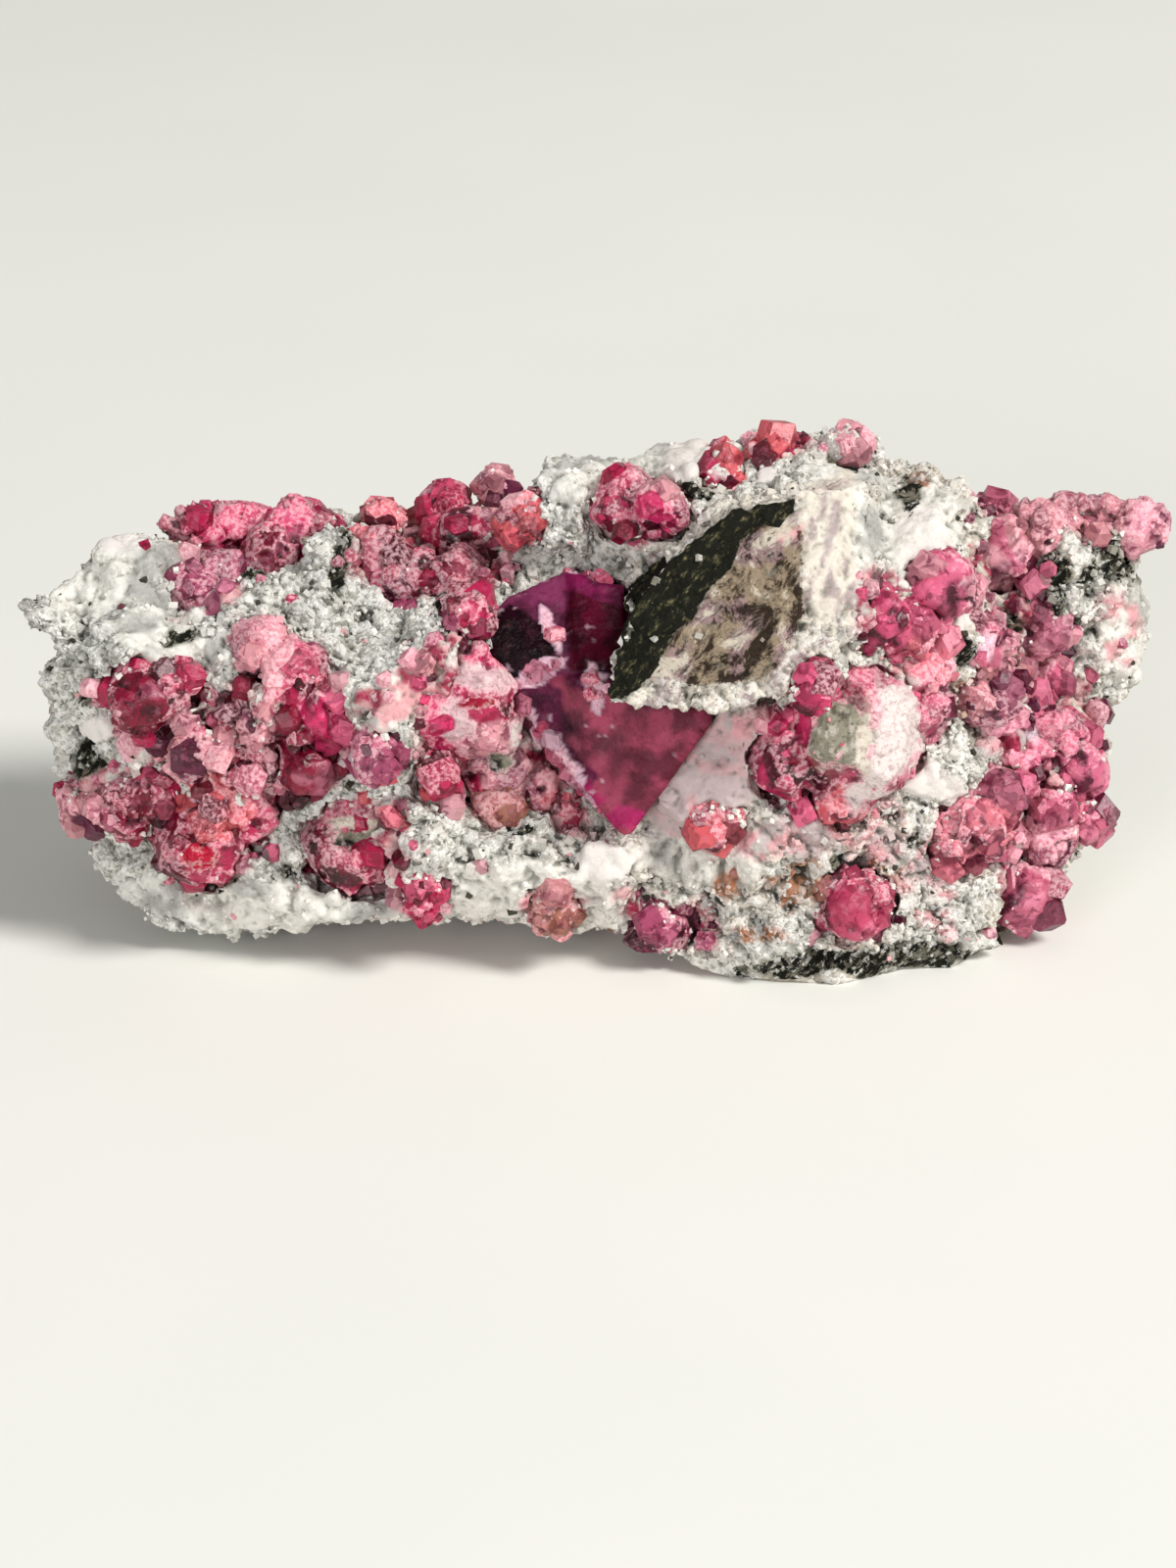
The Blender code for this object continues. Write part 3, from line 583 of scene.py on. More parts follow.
class Shader:
    """A material's node tree, built from left to right."""

    def __init__(self, name):
        self.material = bpy.data.materials.new(name)
        self.material.use_nodes = True
        self.tree = self.material.node_tree
        self.surface = self.tree.nodes["Principled BSDF"]
        self.place = self.tree.nodes.new("ShaderNodeTexCoord").outputs["Object"]

    def set(self, **values):
        for name, value in values.items():
            self.surface.inputs[name.replace("_", " ")].default_value = value

    def link(self, output, socket):
        self.tree.links.new(output, self.surface.inputs[socket])

    def feed(self, socket, value):
        """Gives the socket a number, a colour or another node's output."""
        if isinstance(value, (int, float)):
            socket.default_value = value
        elif isinstance(value, tuple):
            socket.default_value = (*value, 1.0)
        else:
            self.tree.links.new(value, socket)

    def tint(self):
        """The colour and the fourth value that the mesh's points carry."""
        node = self.tree.nodes.new("ShaderNodeAttribute")
        node.attribute_name = "tint"
        return node.outputs["Color"], node.outputs["Alpha"]

    def kinds(self):
        """The shares of moss, broken cream face and pale mass that the rock's points carry."""
        node = self.tree.nodes.new("ShaderNodeAttribute")
        node.attribute_name = "kinds"
        split = self.tree.nodes.new("ShaderNodeSeparateColor")
        self.tree.links.new(node.outputs["Color"], split.inputs["Color"])
        return split.outputs["Red"], split.outputs["Green"], split.outputs["Blue"]

    def streaked(self, turn, stretch):
        """Places drawn out along that direction of the picture plane, for noise in streaks."""
        c = math.cos(turn)
        s = math.sin(turn)
        along = Vector((c, s * UP[1], s * UP[2]))
        across = Vector((-s, c * UP[1], c * UP[2]))
        node = self.tree.nodes.new("ShaderNodeMapping")
        node.vector_type = "TEXTURE"
        turned = Matrix((along, across, along.cross(across))).transposed()
        node.inputs["Rotation"].default_value = turned.to_euler()
        node.inputs["Scale"].default_value = (stretch, 1.0, 1.0)
        self.tree.links.new(self.place, node.inputs["Vector"])
        return node.outputs["Vector"]

    def noise(self, size, detail=2.0, roughness=0.5, distortion=0.0, place=None):
        """Noise whose bumps are about that many millimetres wide."""
        node = self.tree.nodes.new("ShaderNodeTexNoise")
        node.inputs["Scale"].default_value = 1 / (size * MM)
        node.inputs["Detail"].default_value = detail
        node.inputs["Roughness"].default_value = roughness
        node.inputs["Distortion"].default_value = distortion
        self.tree.links.new(place or self.place, node.inputs["Vector"])
        return node.outputs["Fac"]

    def grains(self, size):
        """Grains that wide: distance from a grain's middle, and a random value for each grain."""
        node = self.tree.nodes.new("ShaderNodeTexVoronoi")
        node.inputs["Scale"].default_value = 1 / (size * MM)
        self.tree.links.new(self.place, node.inputs["Vector"])
        split = self.tree.nodes.new("ShaderNodeSeparateColor")
        self.tree.links.new(node.outputs["Color"], split.inputs["Color"])
        return node.outputs["Distance"], split.outputs["Red"]

    def range(self, value, low, high, to_low=0.0, to_high=1.0):
        node = self.tree.nodes.new("ShaderNodeMapRange")
        node.interpolation_type = "SMOOTHSTEP"
        sockets = ("From Min", "From Max", "To Min", "To Max")
        for socket, number in zip(sockets, (low, high, to_low, to_high)):
            node.inputs[socket].default_value = number
        self.tree.links.new(value, node.inputs["Value"])
        return node.outputs["Result"]

    def maths(self, operation, a, b):
        node = self.tree.nodes.new("ShaderNodeMath")
        node.operation = operation
        self.feed(node.inputs[0], a)
        self.feed(node.inputs[1], b)
        return node.outputs["Value"]

    def mix(self, share, a, b, blend="MIX"):
        """Colour a with colour b over it by share."""
        node = self.tree.nodes.new("ShaderNodeMix")
        node.data_type = "RGBA"
        node.blend_type = blend
        factor = next(socket for socket in node.inputs if socket.identifier == "Factor_Float")
        first = next(socket for socket in node.inputs if socket.identifier == "A_Color")
        second = next(socket for socket in node.inputs if socket.identifier == "B_Color")
        for socket, value in ((factor, share), (first, a), (second, b)):
            self.feed(socket, value)
        return next(socket for socket in node.outputs if socket.identifier == "Result_Color")

    def times(self, a, b):
        """Colour a multiplied by colour b."""
        return self.mix(1.0, a, b, "MULTIPLY")

    def bump(self, *heights):
        """Bumps, coarse first: (height output, depth in millimetres)."""
        normal = None
        for height, depth in heights:
            node = self.tree.nodes.new("ShaderNodeBump")
            node.inputs["Distance"].default_value = depth * MM
            self.tree.links.new(height, node.inputs["Height"])
            if normal:
                self.tree.links.new(normal, node.inputs["Normal"])
            normal = node.outputs["Normal"]
        self.tree.links.new(normal, self.surface.inputs["Normal"])


def rock_material():
    """Sugary rock, granular where the fourth value is high, with streaky moss and cream faces."""
    s = Shader("rock_finish")
    tint, granular = s.tint()
    moss, cream, mass = s.kinds()
    away, shade = s.grains(0.40)
    grit = s.noise(0.5, 4.0, 0.65)
    patches = s.noise(2.4, 3.0, 0.6)
    streaks = s.noise(0.55, 5.0, 0.7, place=s.streaked(STREAK_TURN, 2.2))
    blotches = s.noise(2.2, 7.0, 0.68, 0.5, place=s.streaked(STREAK_TURN, 1.5))
    grey = s.maths("MULTIPLY", s.range(shade, 0.55, 0.95, 0.0, 0.85), granular)
    colour = s.mix(grey, tint, s.times(tint, (0.56, 0.555, 0.52)))
    specks = s.maths("MULTIPLY", s.range(grit, 0.57, 0.64), s.range(patches, 0.44, 0.60))
    colour = s.mix(s.maths("MULTIPLY", specks, granular), colour, (0.10, 0.10, 0.075))
    white = s.maths("MULTIPLY", s.range(shade, 0.45, 0.05, 0.0, 0.6), granular)
    colour = s.mix(white, colour, (0.88, 0.875, 0.84))
    soft = s.maths("MULTIPLY", s.range(grit, 0.40, 0.62), s.range(patches, 0.36, 0.62, 0.0, 0.6))
    colour = s.mix(s.maths("MULTIPLY", soft, mass), colour, s.times(tint, (0.62, 0.60, 0.55)))
    broken = s.mix(s.range(blotches, 0.42, 0.51), s.times(tint, (0.10, 0.08, 0.07)), tint)
    broken = s.mix(s.range(blotches, 0.53, 0.61, 0.0, 0.85), broken, (0.58, 0.52, 0.43))
    broken = s.mix(s.range(streaks, 0.57, 0.63, 0.0, 0.8), broken, (0.045, 0.03, 0.025))
    creamy = s.range(s.maths("ADD", cream, s.range(grit, 0.3, 0.7, -0.3, 0.3)), 0.4, 0.6)
    colour = s.mix(creamy, colour, broken)
    flecked = s.mix(s.range(streaks, 0.53, 0.63), (0.006, 0.006, 0.003), (0.06, 0.055, 0.025))
    flecked = s.mix(s.range(streaks, 0.62, 0.70, 0.0, 0.7), flecked, (0.30, 0.26, 0.15))
    mossy = s.range(s.maths("ADD", moss, s.range(streaks, 0.3, 0.7, 0.3, -0.3)), 0.4, 0.55)
    s.link(s.mix(mossy, colour, flecked), "Base Color")
    s.link(s.range(grit, 0.3, 0.7, 0.75, 0.95), "Roughness")
    s.set(Specular_IOR_Level=0.2)
    grain_bumps = s.maths("MULTIPLY", s.range(away, 0.0, 0.7, 1.0, 0.0), granular)
    grit_bumps = s.maths("MULTIPLY", grit, s.range(granular, 0.0, 1.0, 0.35, 1.0))
    s.bump((patches, 0.25), (streaks, 0.10), (grain_bumps, 0.14), (grit_bumps, 0.22))
    return s.material


def grain_material():
    """Loose grains, glossier the higher their fourth value."""
    s = Shader("grain_finish")
    tint, gloss = s.tint()
    fine = s.noise(0.2, 2.0)
    speckled = s.mix(s.range(fine, 0.5, 0.7, 0.0, 0.5), tint, s.times(tint, (0.6, 0.6, 0.58)))
    s.link(speckled, "Base Color")
    s.link(s.range(gloss, 0.0, 1.0, 0.85, 0.35), "Roughness")
    s.bump((fine, 0.05))
    s.set(Specular_IOR_Level=0.4)
    return s.material


def garnet_material(name, roughness, transmission, shine, coat, milk, mosaic):
    """Half-clear garnet with flaws, milky veils and a mosaic of lighter and darker parts.

    It is crusted where the fourth value is high, and matte where that is 1.
    """
    s = Shader(name)
    tint, crust = s.tint()
    flaws = s.noise(1.3, 4.0, 0.65, 0.8)
    veils = s.noise(0.9, 4.0, 0.65)
    fine = s.noise(0.38, 4.0, 0.65)
    away, shade = s.grains(0.85)
    colour = s.mix(s.range(shade, 0.0, 0.5, mosaic, 0.0), tint, s.times(tint, (0.30, 0.08, 0.20)))
    flawed = s.range(flaws, 0.50, 0.64, 0.0, 0.3 + 0.9 * mosaic)
    colour = s.mix(flawed, colour, s.times(tint, (0.30, 0.06, 0.18)))
    milky = s.mix(0.4, tint, (0.86, 0.26, 0.40))
    colour = s.mix(s.range(veils, 0.52, 0.68, 0.0, milk), colour, milky)
    crusted = s.range(s.maths("ADD", crust, s.maths("MULTIPLY", fine, 0.45)), 0.80, 0.94)
    rough = s.mix(0.5, tint, (0.48, 0.12, 0.18))
    pale = s.mix(s.range(fine, 0.40, 0.58), rough, s.mix(0.6, tint, (0.86, 0.54, 0.58)))
    plain = s.range(crust, 0.92, 0.98)
    mottled = s.mix(s.range(fine, 0.48, 0.62), tint, s.times(tint, (0.70, 0.62, 0.62)))
    mottled = s.mix(s.range(veils, 0.50, 0.62, 0.0, 0.7), mottled, s.mix(0.5, tint, (0.80, 0.70, 0.66)))
    s.link(s.mix(plain, s.mix(crusted, colour, pale), mottled), "Base Color")
    s.link(s.range(crusted, 0.0, 1.0, roughness, 0.8), "Roughness")
    s.link(s.range(crusted, 0.0, 0.8, transmission, 0.0), "Transmission Weight")
    s.bump((flaws, 0.10), (away, 0.13 * mosaic), (veils, 0.08), (fine, 0.08))
    s.set(IOR=1.74, Specular_IOR_Level=shine, Coat_Weight=coat, Coat_Roughness=0.15)
    return s.material


def floor_material():
    s = Shader("floor_finish")
    wash = s.range(s.noise(60.0, 2.0), 0.3, 0.7)
    s.link(s.mix(wash, (0.82, 0.82, 0.775), (0.84, 0.835, 0.79)), "Base Color")
    s.set(Roughness=0.9, Specular_IOR_Level=0.1)
    return s.material


# The rock


def rock_zones(points, normals):
    """How much of each kind of rock lies at each point."""
    at = picture(points)
    ragged = 0.9 * (rough_noise(points, 2.2, 31) - 0.5)
    seen = facing(points, normals)
    wedge = depth_inside(at, WEDGE)
    moss = 0.52 * zone(at, DARK_ZONES, 1.8 * ragged)
    bare = 1 - zone(at, PALE_FACE)
    zones = {
        "dark": np.maximum(moss, ramp(depth_inside(at, WEDGE_DARK) + ragged, -0.3, 0.2)),
        "cream": ramp(depth_inside(at, WEDGE_CREAM) + ragged, -0.5, 0.3),
        "rim": ramp(wedge, -0.6, -0.2),
        "wedge": ramp(wedge, -0.4, 0.4),
        "blush": zone(at, BLUSH_ZONES, ragged),
        "rust": zone(at, RUST_ZONES, ragged),
        "lilac": zone(at, LILAC_ZONES, ragged),
        "smooth": zone(at, SMOOTH_ZONES, ragged * 0.8),
        "mass": np.maximum(zone(at, MASS_ZONES, ragged), 0.1 * ramp(wedge, -0.6, -0.2)),
        "druse": zone(at, DRUSE_ZONES, ragged) * (1 - ramp(wedge, -1.0, 0.0)) * bare,
    }
    zones = {name: share * seen for name, share in zones.items()}
    hidden = 1 - seen
    stains = ramp(rough_noise(points, 7.0, 61, 5), 0.63, 0.73)
    zones["dark"] = np.maximum(zones["dark"], hidden * 0.9 * stains)
    zones["blush"] = np.maximum(zones["blush"], hidden * blots(points, 11.0, 71, 0.58, 0.66))
    zones["rust"] = np.maximum(zones["rust"], hidden * blots(points, 6.0, 81, 0.68, 0.74))
    return zones


def rock_colours(points, zones):
    """The rock's colour at each point."""
    streaks = layers(picture(points), math.radians(80), 2.4, 1.0)
    warm = ramp(points[:, 0] + 22 * (rough_noise(points, 14.0, 45) - 0.5), -14, 14)
    colours = mixed(COOL_ROCK, WARM_ROCK, warm)
    colours = mixed(colours, PALE_ROCK, blots(points, 3.2, 47, 0.40, 0.58))
    colours = mixed(colours, SHADOW_ROCK, 0.45 * blots(points, 1.7, 41, 0.50, 0.68))
    mass = mixed(PALE_ROCK, COOL_ROCK * 0.62, blots(points, 3.6, 43, 0.50, 0.66))
    colours = mixed(colours, mass, zones["mass"])
    rim = mixed(RIM_ROCK, LILAC_ROCK * 0.8, 0.8 * blots(streaks, 0.9, 49, 0.54, 0.64))
    colours = mixed(colours, rim, zones["rim"])
    broken = mixed(CREAM_ROCK, BROKEN_LILAC, blots(points, 2.2, 53, 0.50, 0.60))
    colours = mixed(colours, broken, zones["cream"])
    colours = mixed(colours, LILAC_ROCK, 0.85 * zones["lilac"])
    colours = mixed(colours, PINK_ROCK, 0.5 * zones["lilac"] * blots(points, 1.3, 63, 0.52, 0.66))
    colours = mixed(colours, PINK_ROCK, zones["blush"] * blots(points, 1.5, 55, 0.40, 0.56))
    colours = mixed(colours, RUST_ROCK, zones["rust"] * blots(points, 1.2, 57, 0.38, 0.56))
    berry = mixed(BERRY_ROCK, PINK_ROCK, blots(points, 1.4, 67, 0.46, 0.58))
    colours = mixed(colours, berry, zones["druse"] * blots(points, 1.1, 59, 0.34, 0.50))
    colours = mixed(colours, MOSS_ROCK, np.minimum(1.7 * zones["dark"], 1))
    return mixed(colours, PORCELAIN, zones["smooth"])


def squeeze_left(points):
    """Brings the rock that lies beyond the left end's outline in to it."""
    at = picture(points)
    edge_v, edge_u = np.array(LEFT_EDGE).T
    beyond = np.minimum(at[:, 0] + 1.0 - np.interp(at[:, 1], edge_v, edge_u), 0)
    points[:, 0] -= 0.9 * beyond * ramp(at[:, 1], -11.0, -8.0) * ramp(at[:, 1], 19.5, 17.0)


def make_rock(material):
    """The rock's broken, granular surface, in three pieces along its length."""
    rock = Surface(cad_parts["matrix_rock"], ROCK_VOXEL)
    at = picture(rock.points)
    flat = np.maximum(zone(at, PALE_FACE), ramp(depth_inside(at, WEDGE), -1.0, 0.5))
    flat *= facing(rock.points, rock.normals())
    base = ramp(rock.points[:, 2], 2.0, 0.6)
    rock.smooth(16, np.maximum(base, 0.9 * flat))
    squeeze_left(rock.points)
    points = rock.points.copy()
    zones = rock_zones(points, rock.normals())
    zones["flat"] = flat
    rough = (1 - 0.9 * zones["smooth"]) * (1 - 0.3 * zones["mass"])
    crust = zones["rim"] * (1 - zones["dark"]) * (1 - zones["cream"])
    coarse = (1 - 0.9 * zones["smooth"]) * (1 - 0.85 * flat * (1 - 0.6 * crust))
    coarse *= 1 - 0.45 * zones["mass"]
    lumps = rough_noise(points, 5.0, 1) - 0.5
    clods = clumps(points, 2.8, 5)
    knobs = clumps(points, 1.3, 9)
    grit = clumps(points, 0.75, 17)
    pits = blots(points, 2.6, 13, 0.58, 0.72)
    streaks = rough_noise(layers(at, STREAK_TURN, 3.0, 1.0), 1.1, 23) - 0.5
    height = coarse * (2.4 * lumps + 1.1 * (clods - 0.7) + 0.5 * (knobs - 0.7) - 1.2 * pits)
    height += rough * (0.2 * (grit - 0.6) + 0.9 * (rough_noise(points, 1.5, 19) - 0.5))
    height += zones["smooth"] * 0.5 * (clumps(points, 2.4, 27) - 0.6)
    height += zones["wedge"] * 1.4 * streaks
    fibres = rough_noise(layers(at, math.radians(86), 3.6, 0.8), 0.9, 29) - 0.5
    height += zone(at, FIBRE_ZONES) * 2.2 * fibres
    above = ramp(points[:, 2], 0.3, 2.0)
    rock.raise_by(np.clip(height, -2.6, 1.2) * above)
    colours = rock_colours(points, zones)
    # Painted shade: the rock's crevices and deep gaps are darkened, less on the white masses and smooth
    # lumps
    calm = (1 - 0.3 * zones["mass"]) * (1 - 0.7 * zones["smooth"])
    colours = mixed(colours, CREVICE_SHADE, 0.8 * calm * ramp(rock.hollows(6), 0.07, 0.16))
    gap_shade = mixed(GAP_SHADE, BERRY_ROCK * 0.2, zones["druse"])
    colours = mixed(colours, gap_shade, 0.9 * calm * ramp(rock.hollows(40), 0.25, 0.75))
    granular = (1 - zones["smooth"]) * (1 - 0.8 * zones["mass"]) * (1 - 0.6 * zones["druse"])
    granular *= (1 - 0.6 * zones["lilac"]) * (1 - 0.15 * zones["rim"]) * (1 - 0.8 * zone(at, PALE_FACE))
    tint = with_fourth(colours, granular)
    kinds = np.stack([zones["dark"], zones["cream"], zones["mass"], np.ones(len(points))], axis=1)
    along = rock.points[rock.triangles[:, 0], 0]
    for name, low, high in ROCK_PIECES:
        mine = rock.triangles[(along >= low) & (along < high)]
        used, triangles = np.unique(mine, return_inverse=True)
        piece = make_piece(name, rock.points[used], triangles.reshape(-1, 3), tint[used], material)
        attribute = piece.data.attributes.new("kinds", "FLOAT_COLOR", "POINT")
        attribute.data.foreach_set("color", kinds[used].astype(np.float32).ravel())
        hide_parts("matrix_rock")
    return rock, zones


def make_grains(rock, zones, material):
    """Loose-looking grains all over the rock, in two meshes."""
    height = rock.points[:, 2]
    weights = ramp(height, 0.6, 1.6) * (1 - zones["smooth"]) * (1 - 0.8 * zones["druse"])
    weights *= 1 - 0.95 * zones["flat"]
    weights *= (0.25 + rough_noise(rock.points, 3.0, 91)) * (1 - 0.6 * zones["mass"])
    for number in (1, 2):
        draw = np.random.default_rng(100 + number)
        places, outward, nearest = rock.sprinkle(draw, weights + 1e-6, GRAINS)
        sizes = draw.lognormal(math.log(0.24), 0.4, GRAINS).clip(0.12, 0.6)
        picked = {name: share[nearest] for name, share in zones.items()}
        colours = rock_colours(places, picked)
        pale = 0.5 * (1 - picked["druse"]) * draw.uniform(0.0, 1.6, GRAINS).clip(0, 1)
        colours = mixed(colours, PALE_ROCK, pale)
        colours *= draw.uniform(0.75, 1.12, (GRAINS, 1))
        colours[draw.random(GRAINS) < 0.03] = DARK_ROCK * 3
        colours[draw.random(GRAINS) < 0.02] = PINK_ROCK
        crumbs = Crumbs()
        places = places + outward * (sizes * 0.15)[:, None]
        tints = with_fourth(colours, draw.random(GRAINS))
        crumbs.add(grain_forms(draw, GRAINS), places, random_turns(draw, GRAINS), sizes, tints)
        crumbs.finish(f"rock_grains_{number}", material)


# The garnets


def crystal_tints_and_painted_light(points):
    """Each point takes the colour of the nearest named place, or raspberry away from them all, and
    painted light turns the crystals paler pink towards the right end.
    """
    at = picture(points)
    wander = np.stack([rough_noise(points, 1.5, seed) for seed in (251, 257)], axis=1)
    at = at + 0.8 * wander - 0.4
    colours = np.tile(RASPBERRY, (len(points), 1))
    nearest = np.full(len(points), TINT_REACH)
    for colour, spots in TINTS.items():
        for spot in spots:
            away = np.hypot(*(at - np.array(spot)).T)
            colours[away < nearest] = colour
            nearest = np.minimum(nearest, away)
    # Painted light: the crystals turn paler pink towards the right end, for the light that falls on
    # them there
    return mixed(colours, MILKY_PINK, 0.42 * ramp(points[:, 0], 15, 32))


def crystal_crust(points, normals):
    """How much pale crust lies on the crystals: 0 to 1."""
    at = picture(points)
    clean = np.zeros(len(points))
    for spot in CLEAN_SPOTS:
        clean = np.maximum(clean, ramp(np.hypot(*(at - np.array(spot)).T), 2.6, 1.4))
    crust = 0.72 * rough_noise(points, 2.8, 201) + 0.34 * rough_noise(points, 0.9, 205)
    return np.clip(crust + 0.14 * normals[:, 2] - 0.5 * clean, 0, 0.9)


def facet_shades(colours, values):
    """Every facet lighter or darker than the crystal's colour, a few very dark and a few milky."""
    colours = colours * (0.5 + 0.9 * values)[:, None]
    colours = mixed(colours, colours * np.array([0.26, 0.07, 0.20]), ramp(values, 0.42, 0.26))
    return mixed(colours, MILKY_PINK, 0.4 * ramp(values, 0.70, 0.85))


def cut_faces(points, draw):
    """Cuts flat faces, like those of a garnet that lies some way round, into the outermost parts."""
    middle = (points.min(axis=0) + points.max(axis=0)) / 2
    turn = random_turns(draw, 1)[0]
    outward = GARNET_FACES @ turn.T
    reaches = ((points - middle) @ outward.T).max(axis=0)
    for direction, reach in zip(outward, reaches):
        if reach < 1.4 * reaches.min():
            depth = min(0.14 * reach, 0.8) * draw.uniform(0.6, 1.2)
            beyond = np.maximum((points - middle) @ direction - reach + depth, 0)
            points -= beyond[:, None] * direction


def around(rock, crystal):
    """Some of the rock's points near the crystal."""
    low = crystal.points.min(axis=0) - 1.5
    high = crystal.points.max(axis=0) + 1.5
    few = rock.points[::3]
    return few[((few > low) & (few < high)).all(axis=1)]


def nearness(points, others, near, far):
    """1 for points that lie that near to one of the others, down to 0 at the far distance."""
    tree = KDTree(len(others))
    for number, other in enumerate(others):
        tree.insert(other, number)
    tree.balance()
    return ramp(np.array([tree.find(point)[2] for point in points]), far, near)


def make_garnets(rock, material):
    """The larger garnets: crisp faces with growth steps and crust, one piece per node."""
    draw = np.random.default_rng(5)
    pieces = []
    for number, name in enumerate(sorted(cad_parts)):
        if not name.startswith("garnet_"):
            continue
        crystal = Surface(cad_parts[name], GARNET_VOXEL)
        cut_faces(crystal.points, draw)
        points = crystal.points.copy()
        normals = crystal.normals()
        crust = crystal_crust(points, normals)
        crusted = ramp(crust, 0.55, 0.75)
        broad, broad_value = facets(points, 3.0, 301 + number)
        small, small_value = facets(points, 1.3, 401 + number)
        height = 0.40 + 1.0 * broad + (0.2 + 0.5 * crusted) * small
        height += 0.22 * crusted * (clumps(points, 0.7, 221) - 0.5)
        height -= 1.1 * blots(points, 3.4, 271, 0.58, 0.70)
        crystal.raise_by(height.clip(-1.3, 0.7))
        value = 0.35 * broad_value + 0.2 * small_value + 0.45 * blots(points, 1.8, 281, 0.3, 0.7)
        colours = facet_shades(crystal_tints_and_painted_light(points), value)
        # Painted shade: the crystals' hollows are darkened to wine
        colours = mixed(colours, WINE_HOLLOW_SHADE, 0.9 * ramp(crystal.hollows(12), 0.05, 0.24))
        contact = nearness(crystal.points, around(rock, crystal), 0.5, 1.5)
        crust = np.minimum(crust + 0.3 * ramp(-crystal.hollows(5), 0.02, 0.08) + 0.25 * contact, 0.9)
        at = picture(points)
        seen = facing(points, normals)
        # Patches of colour, among them painted shade in slits and a painted highlight
        for colour, ellipses in CRYSTAL_PATCHES:
            patch = seen * zone(at, ellipses, 1.5 * (rough_noise(points, 1.3, 241) - 0.5))
            colours = mixed(colours, np.array(colour), patch)
            crust = np.maximum(crust, patch)
        pieces.append((crystal, crust, contact))
        tint = with_fourth(colours, crust)
        new_name = name.replace("garnet_", "crystal_")
        piece = make_piece(new_name, crystal.points, crystal.triangles, tint, material)
        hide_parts(name)
    return pieces


def make_great_garnet(material):
    """The wine-red crystal of the hollow, with plain faces, crusty edges and a crumbly tip."""
    crystal = Surface(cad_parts["great_garnet"], GREAT_VOXEL)
    points = crystal.points.copy()
    at = picture(points)
    crusted = zone(at, GREAT_CRUST, 1.6 * (rough_noise(points, 1.4, 241) - 0.5))
    crust = np.clip(0.5 * rough_noise(points, 1.6, 243) + 0.45 * crusted, 0, 0.9)
    steps = np.floor(rough_noise(points, 2.6, 245, 2) * 9) / 9 - 0.5
    height = 0.05 + 0.22 * steps + 0.5 * crusted * (clumps(points, 0.9, 247) - 0.4)
    height += 0.05 * (rough_noise(points, 0.6, 249, 2) - 0.5)
    wander = 0.9 * (rough_noise(points, 1.8, 263) - 0.5)
    colours = np.tile(GREAT_SIDES, (len(points), 1))
    # Each face's colour is the crystal's own wine with painted shade in it
    for colour, lift, outline in GREAT_FACES:
        inside = depth_inside(at, outline) + wander
        colours = mixed(colours, np.array(colour), ramp(inside, -0.15, 0.15))
        height += lift * ramp(inside, 0.0, 0.4)
    crystal.raise_by(height)
    colours *= (0.8 + 0.4 * facets(points, 3.4, 261)[1])[:, None]
    colours *= (0.5 + ramp(rough_noise(points, 1.7, 265, 5), 0.36, 0.64))[:, None]
    colours = mixed(colours, colours * np.array([0.30, 0.12, 0.36]), zone(at, GREAT_SHADE, 2 * wander))
    colours = mixed(colours, GREAT_PINK, 0.8 * zone(at, GREAT_TIP, 2 * wander))
    specks = ramp(rough_noise(points, 0.7, 267, 2) + 0.15 * zone(at, GREAT_CRUST, 1.5), 0.86, 0.92)
    colours = mixed(colours, LAVENDER_CRUST * 0.9, 0.7 * specks)
    colours = mixed(colours, LAVENDER_CRUST, ramp(crusted, 0.2, 0.6))
    tint = with_fourth(colours, crust)
    piece = make_piece("great_crystal", crystal.points, crystal.triangles, tint, material)
    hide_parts("great_garnet")
    return crystal, crusted


def back_halo(points):
    """How near each point lies to a garnet of the back: 1 beside it, 0 from 2.4 mm away."""
    corners = [
        vertex.co / MM
        for name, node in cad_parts.items()
        if name.startswith("garnet_back")
        for vertex in node.data.vertices
    ]
    return nearness(points, corners, 0.6, 2.4)


def grow_crystals(draw, crumbs, forms, spots, sizes, colours, sunk):
    """Adds a small crystal at each spot, sunk into its ground by that share of its size."""
    places, outward, _ = spots
    count = len(places)
    crust = crystal_crust(places, outward) + draw.uniform(-0.15, 0.1, count)
    places = places - outward * (sizes * draw.uniform(*sunk, count))[:, None]
    turns = random_turns(draw, count)
    which = draw.integers(0, len(forms), count)
    tints = with_fourth(colours, crust)
    for number, form in enumerate(forms):
        mine = which == number
        crumbs.add(form, places[mine], turns[mine], sizes[mine], tints[mine])


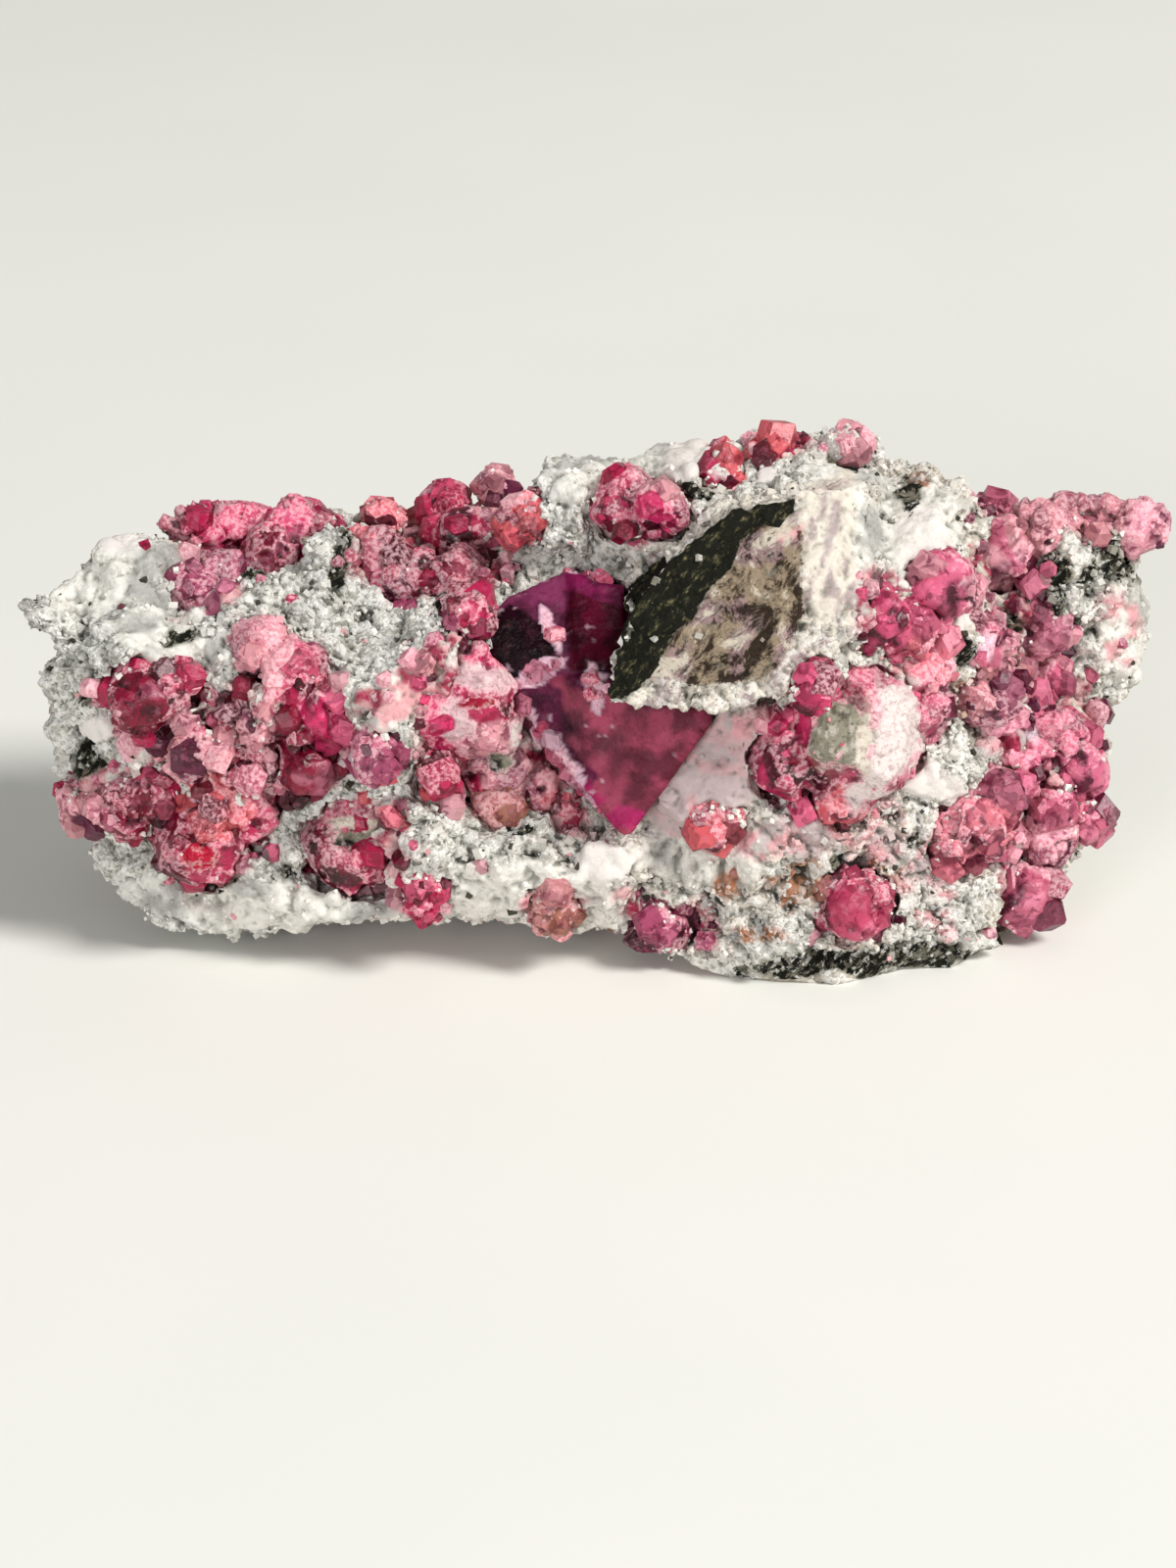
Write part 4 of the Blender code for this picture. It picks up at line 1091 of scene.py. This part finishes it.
def make_druse(rock, zones, pieces, great, material):
    """Small garnets that crowd between the larger ones and grow on them."""
    draw = np.random.default_rng(7)
    forms = [crystal_form(draw) for _ in range(12)]
    crumbs = Crumbs()
    stray = 0.015 * ramp(rock.points[:, 2], 1.0, 3.0)
    weights = (np.maximum(zones["druse"], 0.8 * back_halo(rock.points)) + stray) * (1 - zones["smooth"])
    weights *= 1 - zones["flat"]
    spots = rock.sprinkle(draw, weights, DRUSE)
    sizes = draw.lognormal(math.log(0.62), 0.42, DRUSE).clip(0.3, 1.4)
    colours = facet_shades(crystal_tints_and_painted_light(spots[0]), draw.random(DRUSE))
    pale = draw.random(DRUSE) < 0.2
    colours[pale] = CRUST_PINK * draw.uniform(0.8, 1.1, (pale.sum(), 1))
    grow_crystals(draw, crumbs, forms, spots, sizes, colours, (0.0, 0.4))
    count = SATELLITES // len(pieces)
    for crystal, crust, _ in pieces:
        spots = crystal.sprinkle(draw, 0.15 + ramp(crust, 0.4, 0.7), count)
        sizes = draw.lognormal(math.log(0.72), 0.4, count).clip(0.35, 1.5)
        colours = facet_shades(crystal_tints_and_painted_light(spots[0]), draw.uniform(0.2, 0.8, count))
        grow_crystals(draw, crumbs, forms, spots, sizes, colours, (0.45, 0.8))
    crystal, crusted = great
    spots = crystal.sprinkle(draw, ramp(crusted, 0.2, 0.6), GREAT_SATELLITES)
    sizes = draw.lognormal(math.log(0.5), 0.4, GREAT_SATELLITES).clip(0.25, 1.1)
    colours = mixed(RASPBERRY, LAVENDER_CRUST, draw.random(GREAT_SATELLITES))
    grow_crystals(draw, crumbs, forms, spots, sizes, colours, (0.2, 0.6))
    crumbs.finish("garnet_druse", material)


def make_frost(pieces, material):
    """Pale crumbs stuck to the crusted crystals."""
    draw = np.random.default_rng(11)
    crumbs = Crumbs()
    share = FROST // len(pieces)
    for crystal, crust, contact in pieces:
        weights = ramp(crust, 0.55, 0.75) + contact + 1e-4
        places, outward, nearest = crystal.sprinkle(draw, weights, share)
        sizes = draw.lognormal(math.log(0.16), 0.35, share).clip(0.08, 0.36)
        sizes *= 1 + 0.6 * contact[nearest]
        colours = mixed(crystal_tints_and_painted_light(places), CRUST_PINK, draw.uniform(0.0, 1.0, share))
        colours[draw.random(share) < 0.15 + 0.7 * contact[nearest]] = PALE_ROCK
        tints = with_fourth(colours, draw.random(share))
        crumbs.add(grain_forms(draw, share), places, random_turns(draw, share), sizes, tints)
    crumbs.finish("crystal_crust", material)


# Floor, light and camera


def make_floor():
    mesh = bpy.data.meshes.new("floor")
    bm = bmesh.new()
    bmesh.ops.create_grid(bm, x_segments=1, y_segments=1, size=3.0)
    bm.to_mesh(mesh)
    bm.free()
    mesh.materials.append(floor_material())
    floor = bpy.data.objects.new("floor", mesh)
    bpy.context.scene.collection.objects.link(floor)


def add_area(name, place, size, power, colour):
    light = bpy.data.lights.new(name, "AREA")
    light.shape = "DISK"
    light.size = size
    light.energy = power
    light.color = colour
    obj = bpy.data.objects.new(name, light)
    obj.location = place
    obj.rotation_euler = (Vector((0, 0, 0.02)) - Vector(place)).to_track_quat("-Z", "Y").to_euler()
    bpy.context.scene.collection.objects.link(obj)


def light_scene():
    add_area("key", (1.0, -0.6, 1.2), 0.55, 27.0, (1.0, 0.985, 0.955))
    add_area("fill", (-0.7, -1.6, 0.5), 0.8, 14.0, (0.97, 0.985, 1.0))
    world = bpy.data.worlds.new("studio")
    world.use_nodes = True
    background = world.node_tree.nodes["Background"]
    background.inputs["Color"].default_value = (0.95, 0.96, 0.94, 1.0)
    background.inputs["Strength"].default_value = 0.30
    bpy.context.scene.world = world


def add_camera():
    camera = bpy.data.cameras.new("camera")
    camera.lens = LENS
    camera.sensor_width = 36.0
    camera.sensor_fit = "AUTO"
    camera.clip_start = 0.01
    camera.clip_end = 20.0
    obj = bpy.data.objects.new("camera", camera)
    obj.location = Vector(EYE) * MM
    obj.rotation_euler = Euler((math.pi / 2 - EYE_TILT, 0, 0))
    bpy.context.scene.collection.objects.link(obj)
    bpy.context.scene.camera = obj


def main():
    grain = grain_material()
    garnet = garnet_material(
        "garnet_finish", roughness=0.28, transmission=0.25, shine=0.08, coat=0.12, milk=0.5, mosaic=0.6
    )
    wine = garnet_material(
        "great_garnet_finish", roughness=0.3, transmission=0.1, shine=0.0, coat=0.05, milk=0.1, mosaic=0
    )
    rock, zones = make_rock(rock_material())
    make_grains(rock, zones, grain)
    pieces = make_garnets(rock, garnet)
    great = make_great_garnet(wine)
    make_druse(rock, zones, pieces, great, garnet)
    make_frost(pieces, grain)
    make_floor()
    light_scene()
    add_camera()
    bpy.context.scene.view_settings.view_transform = "Standard"


main()
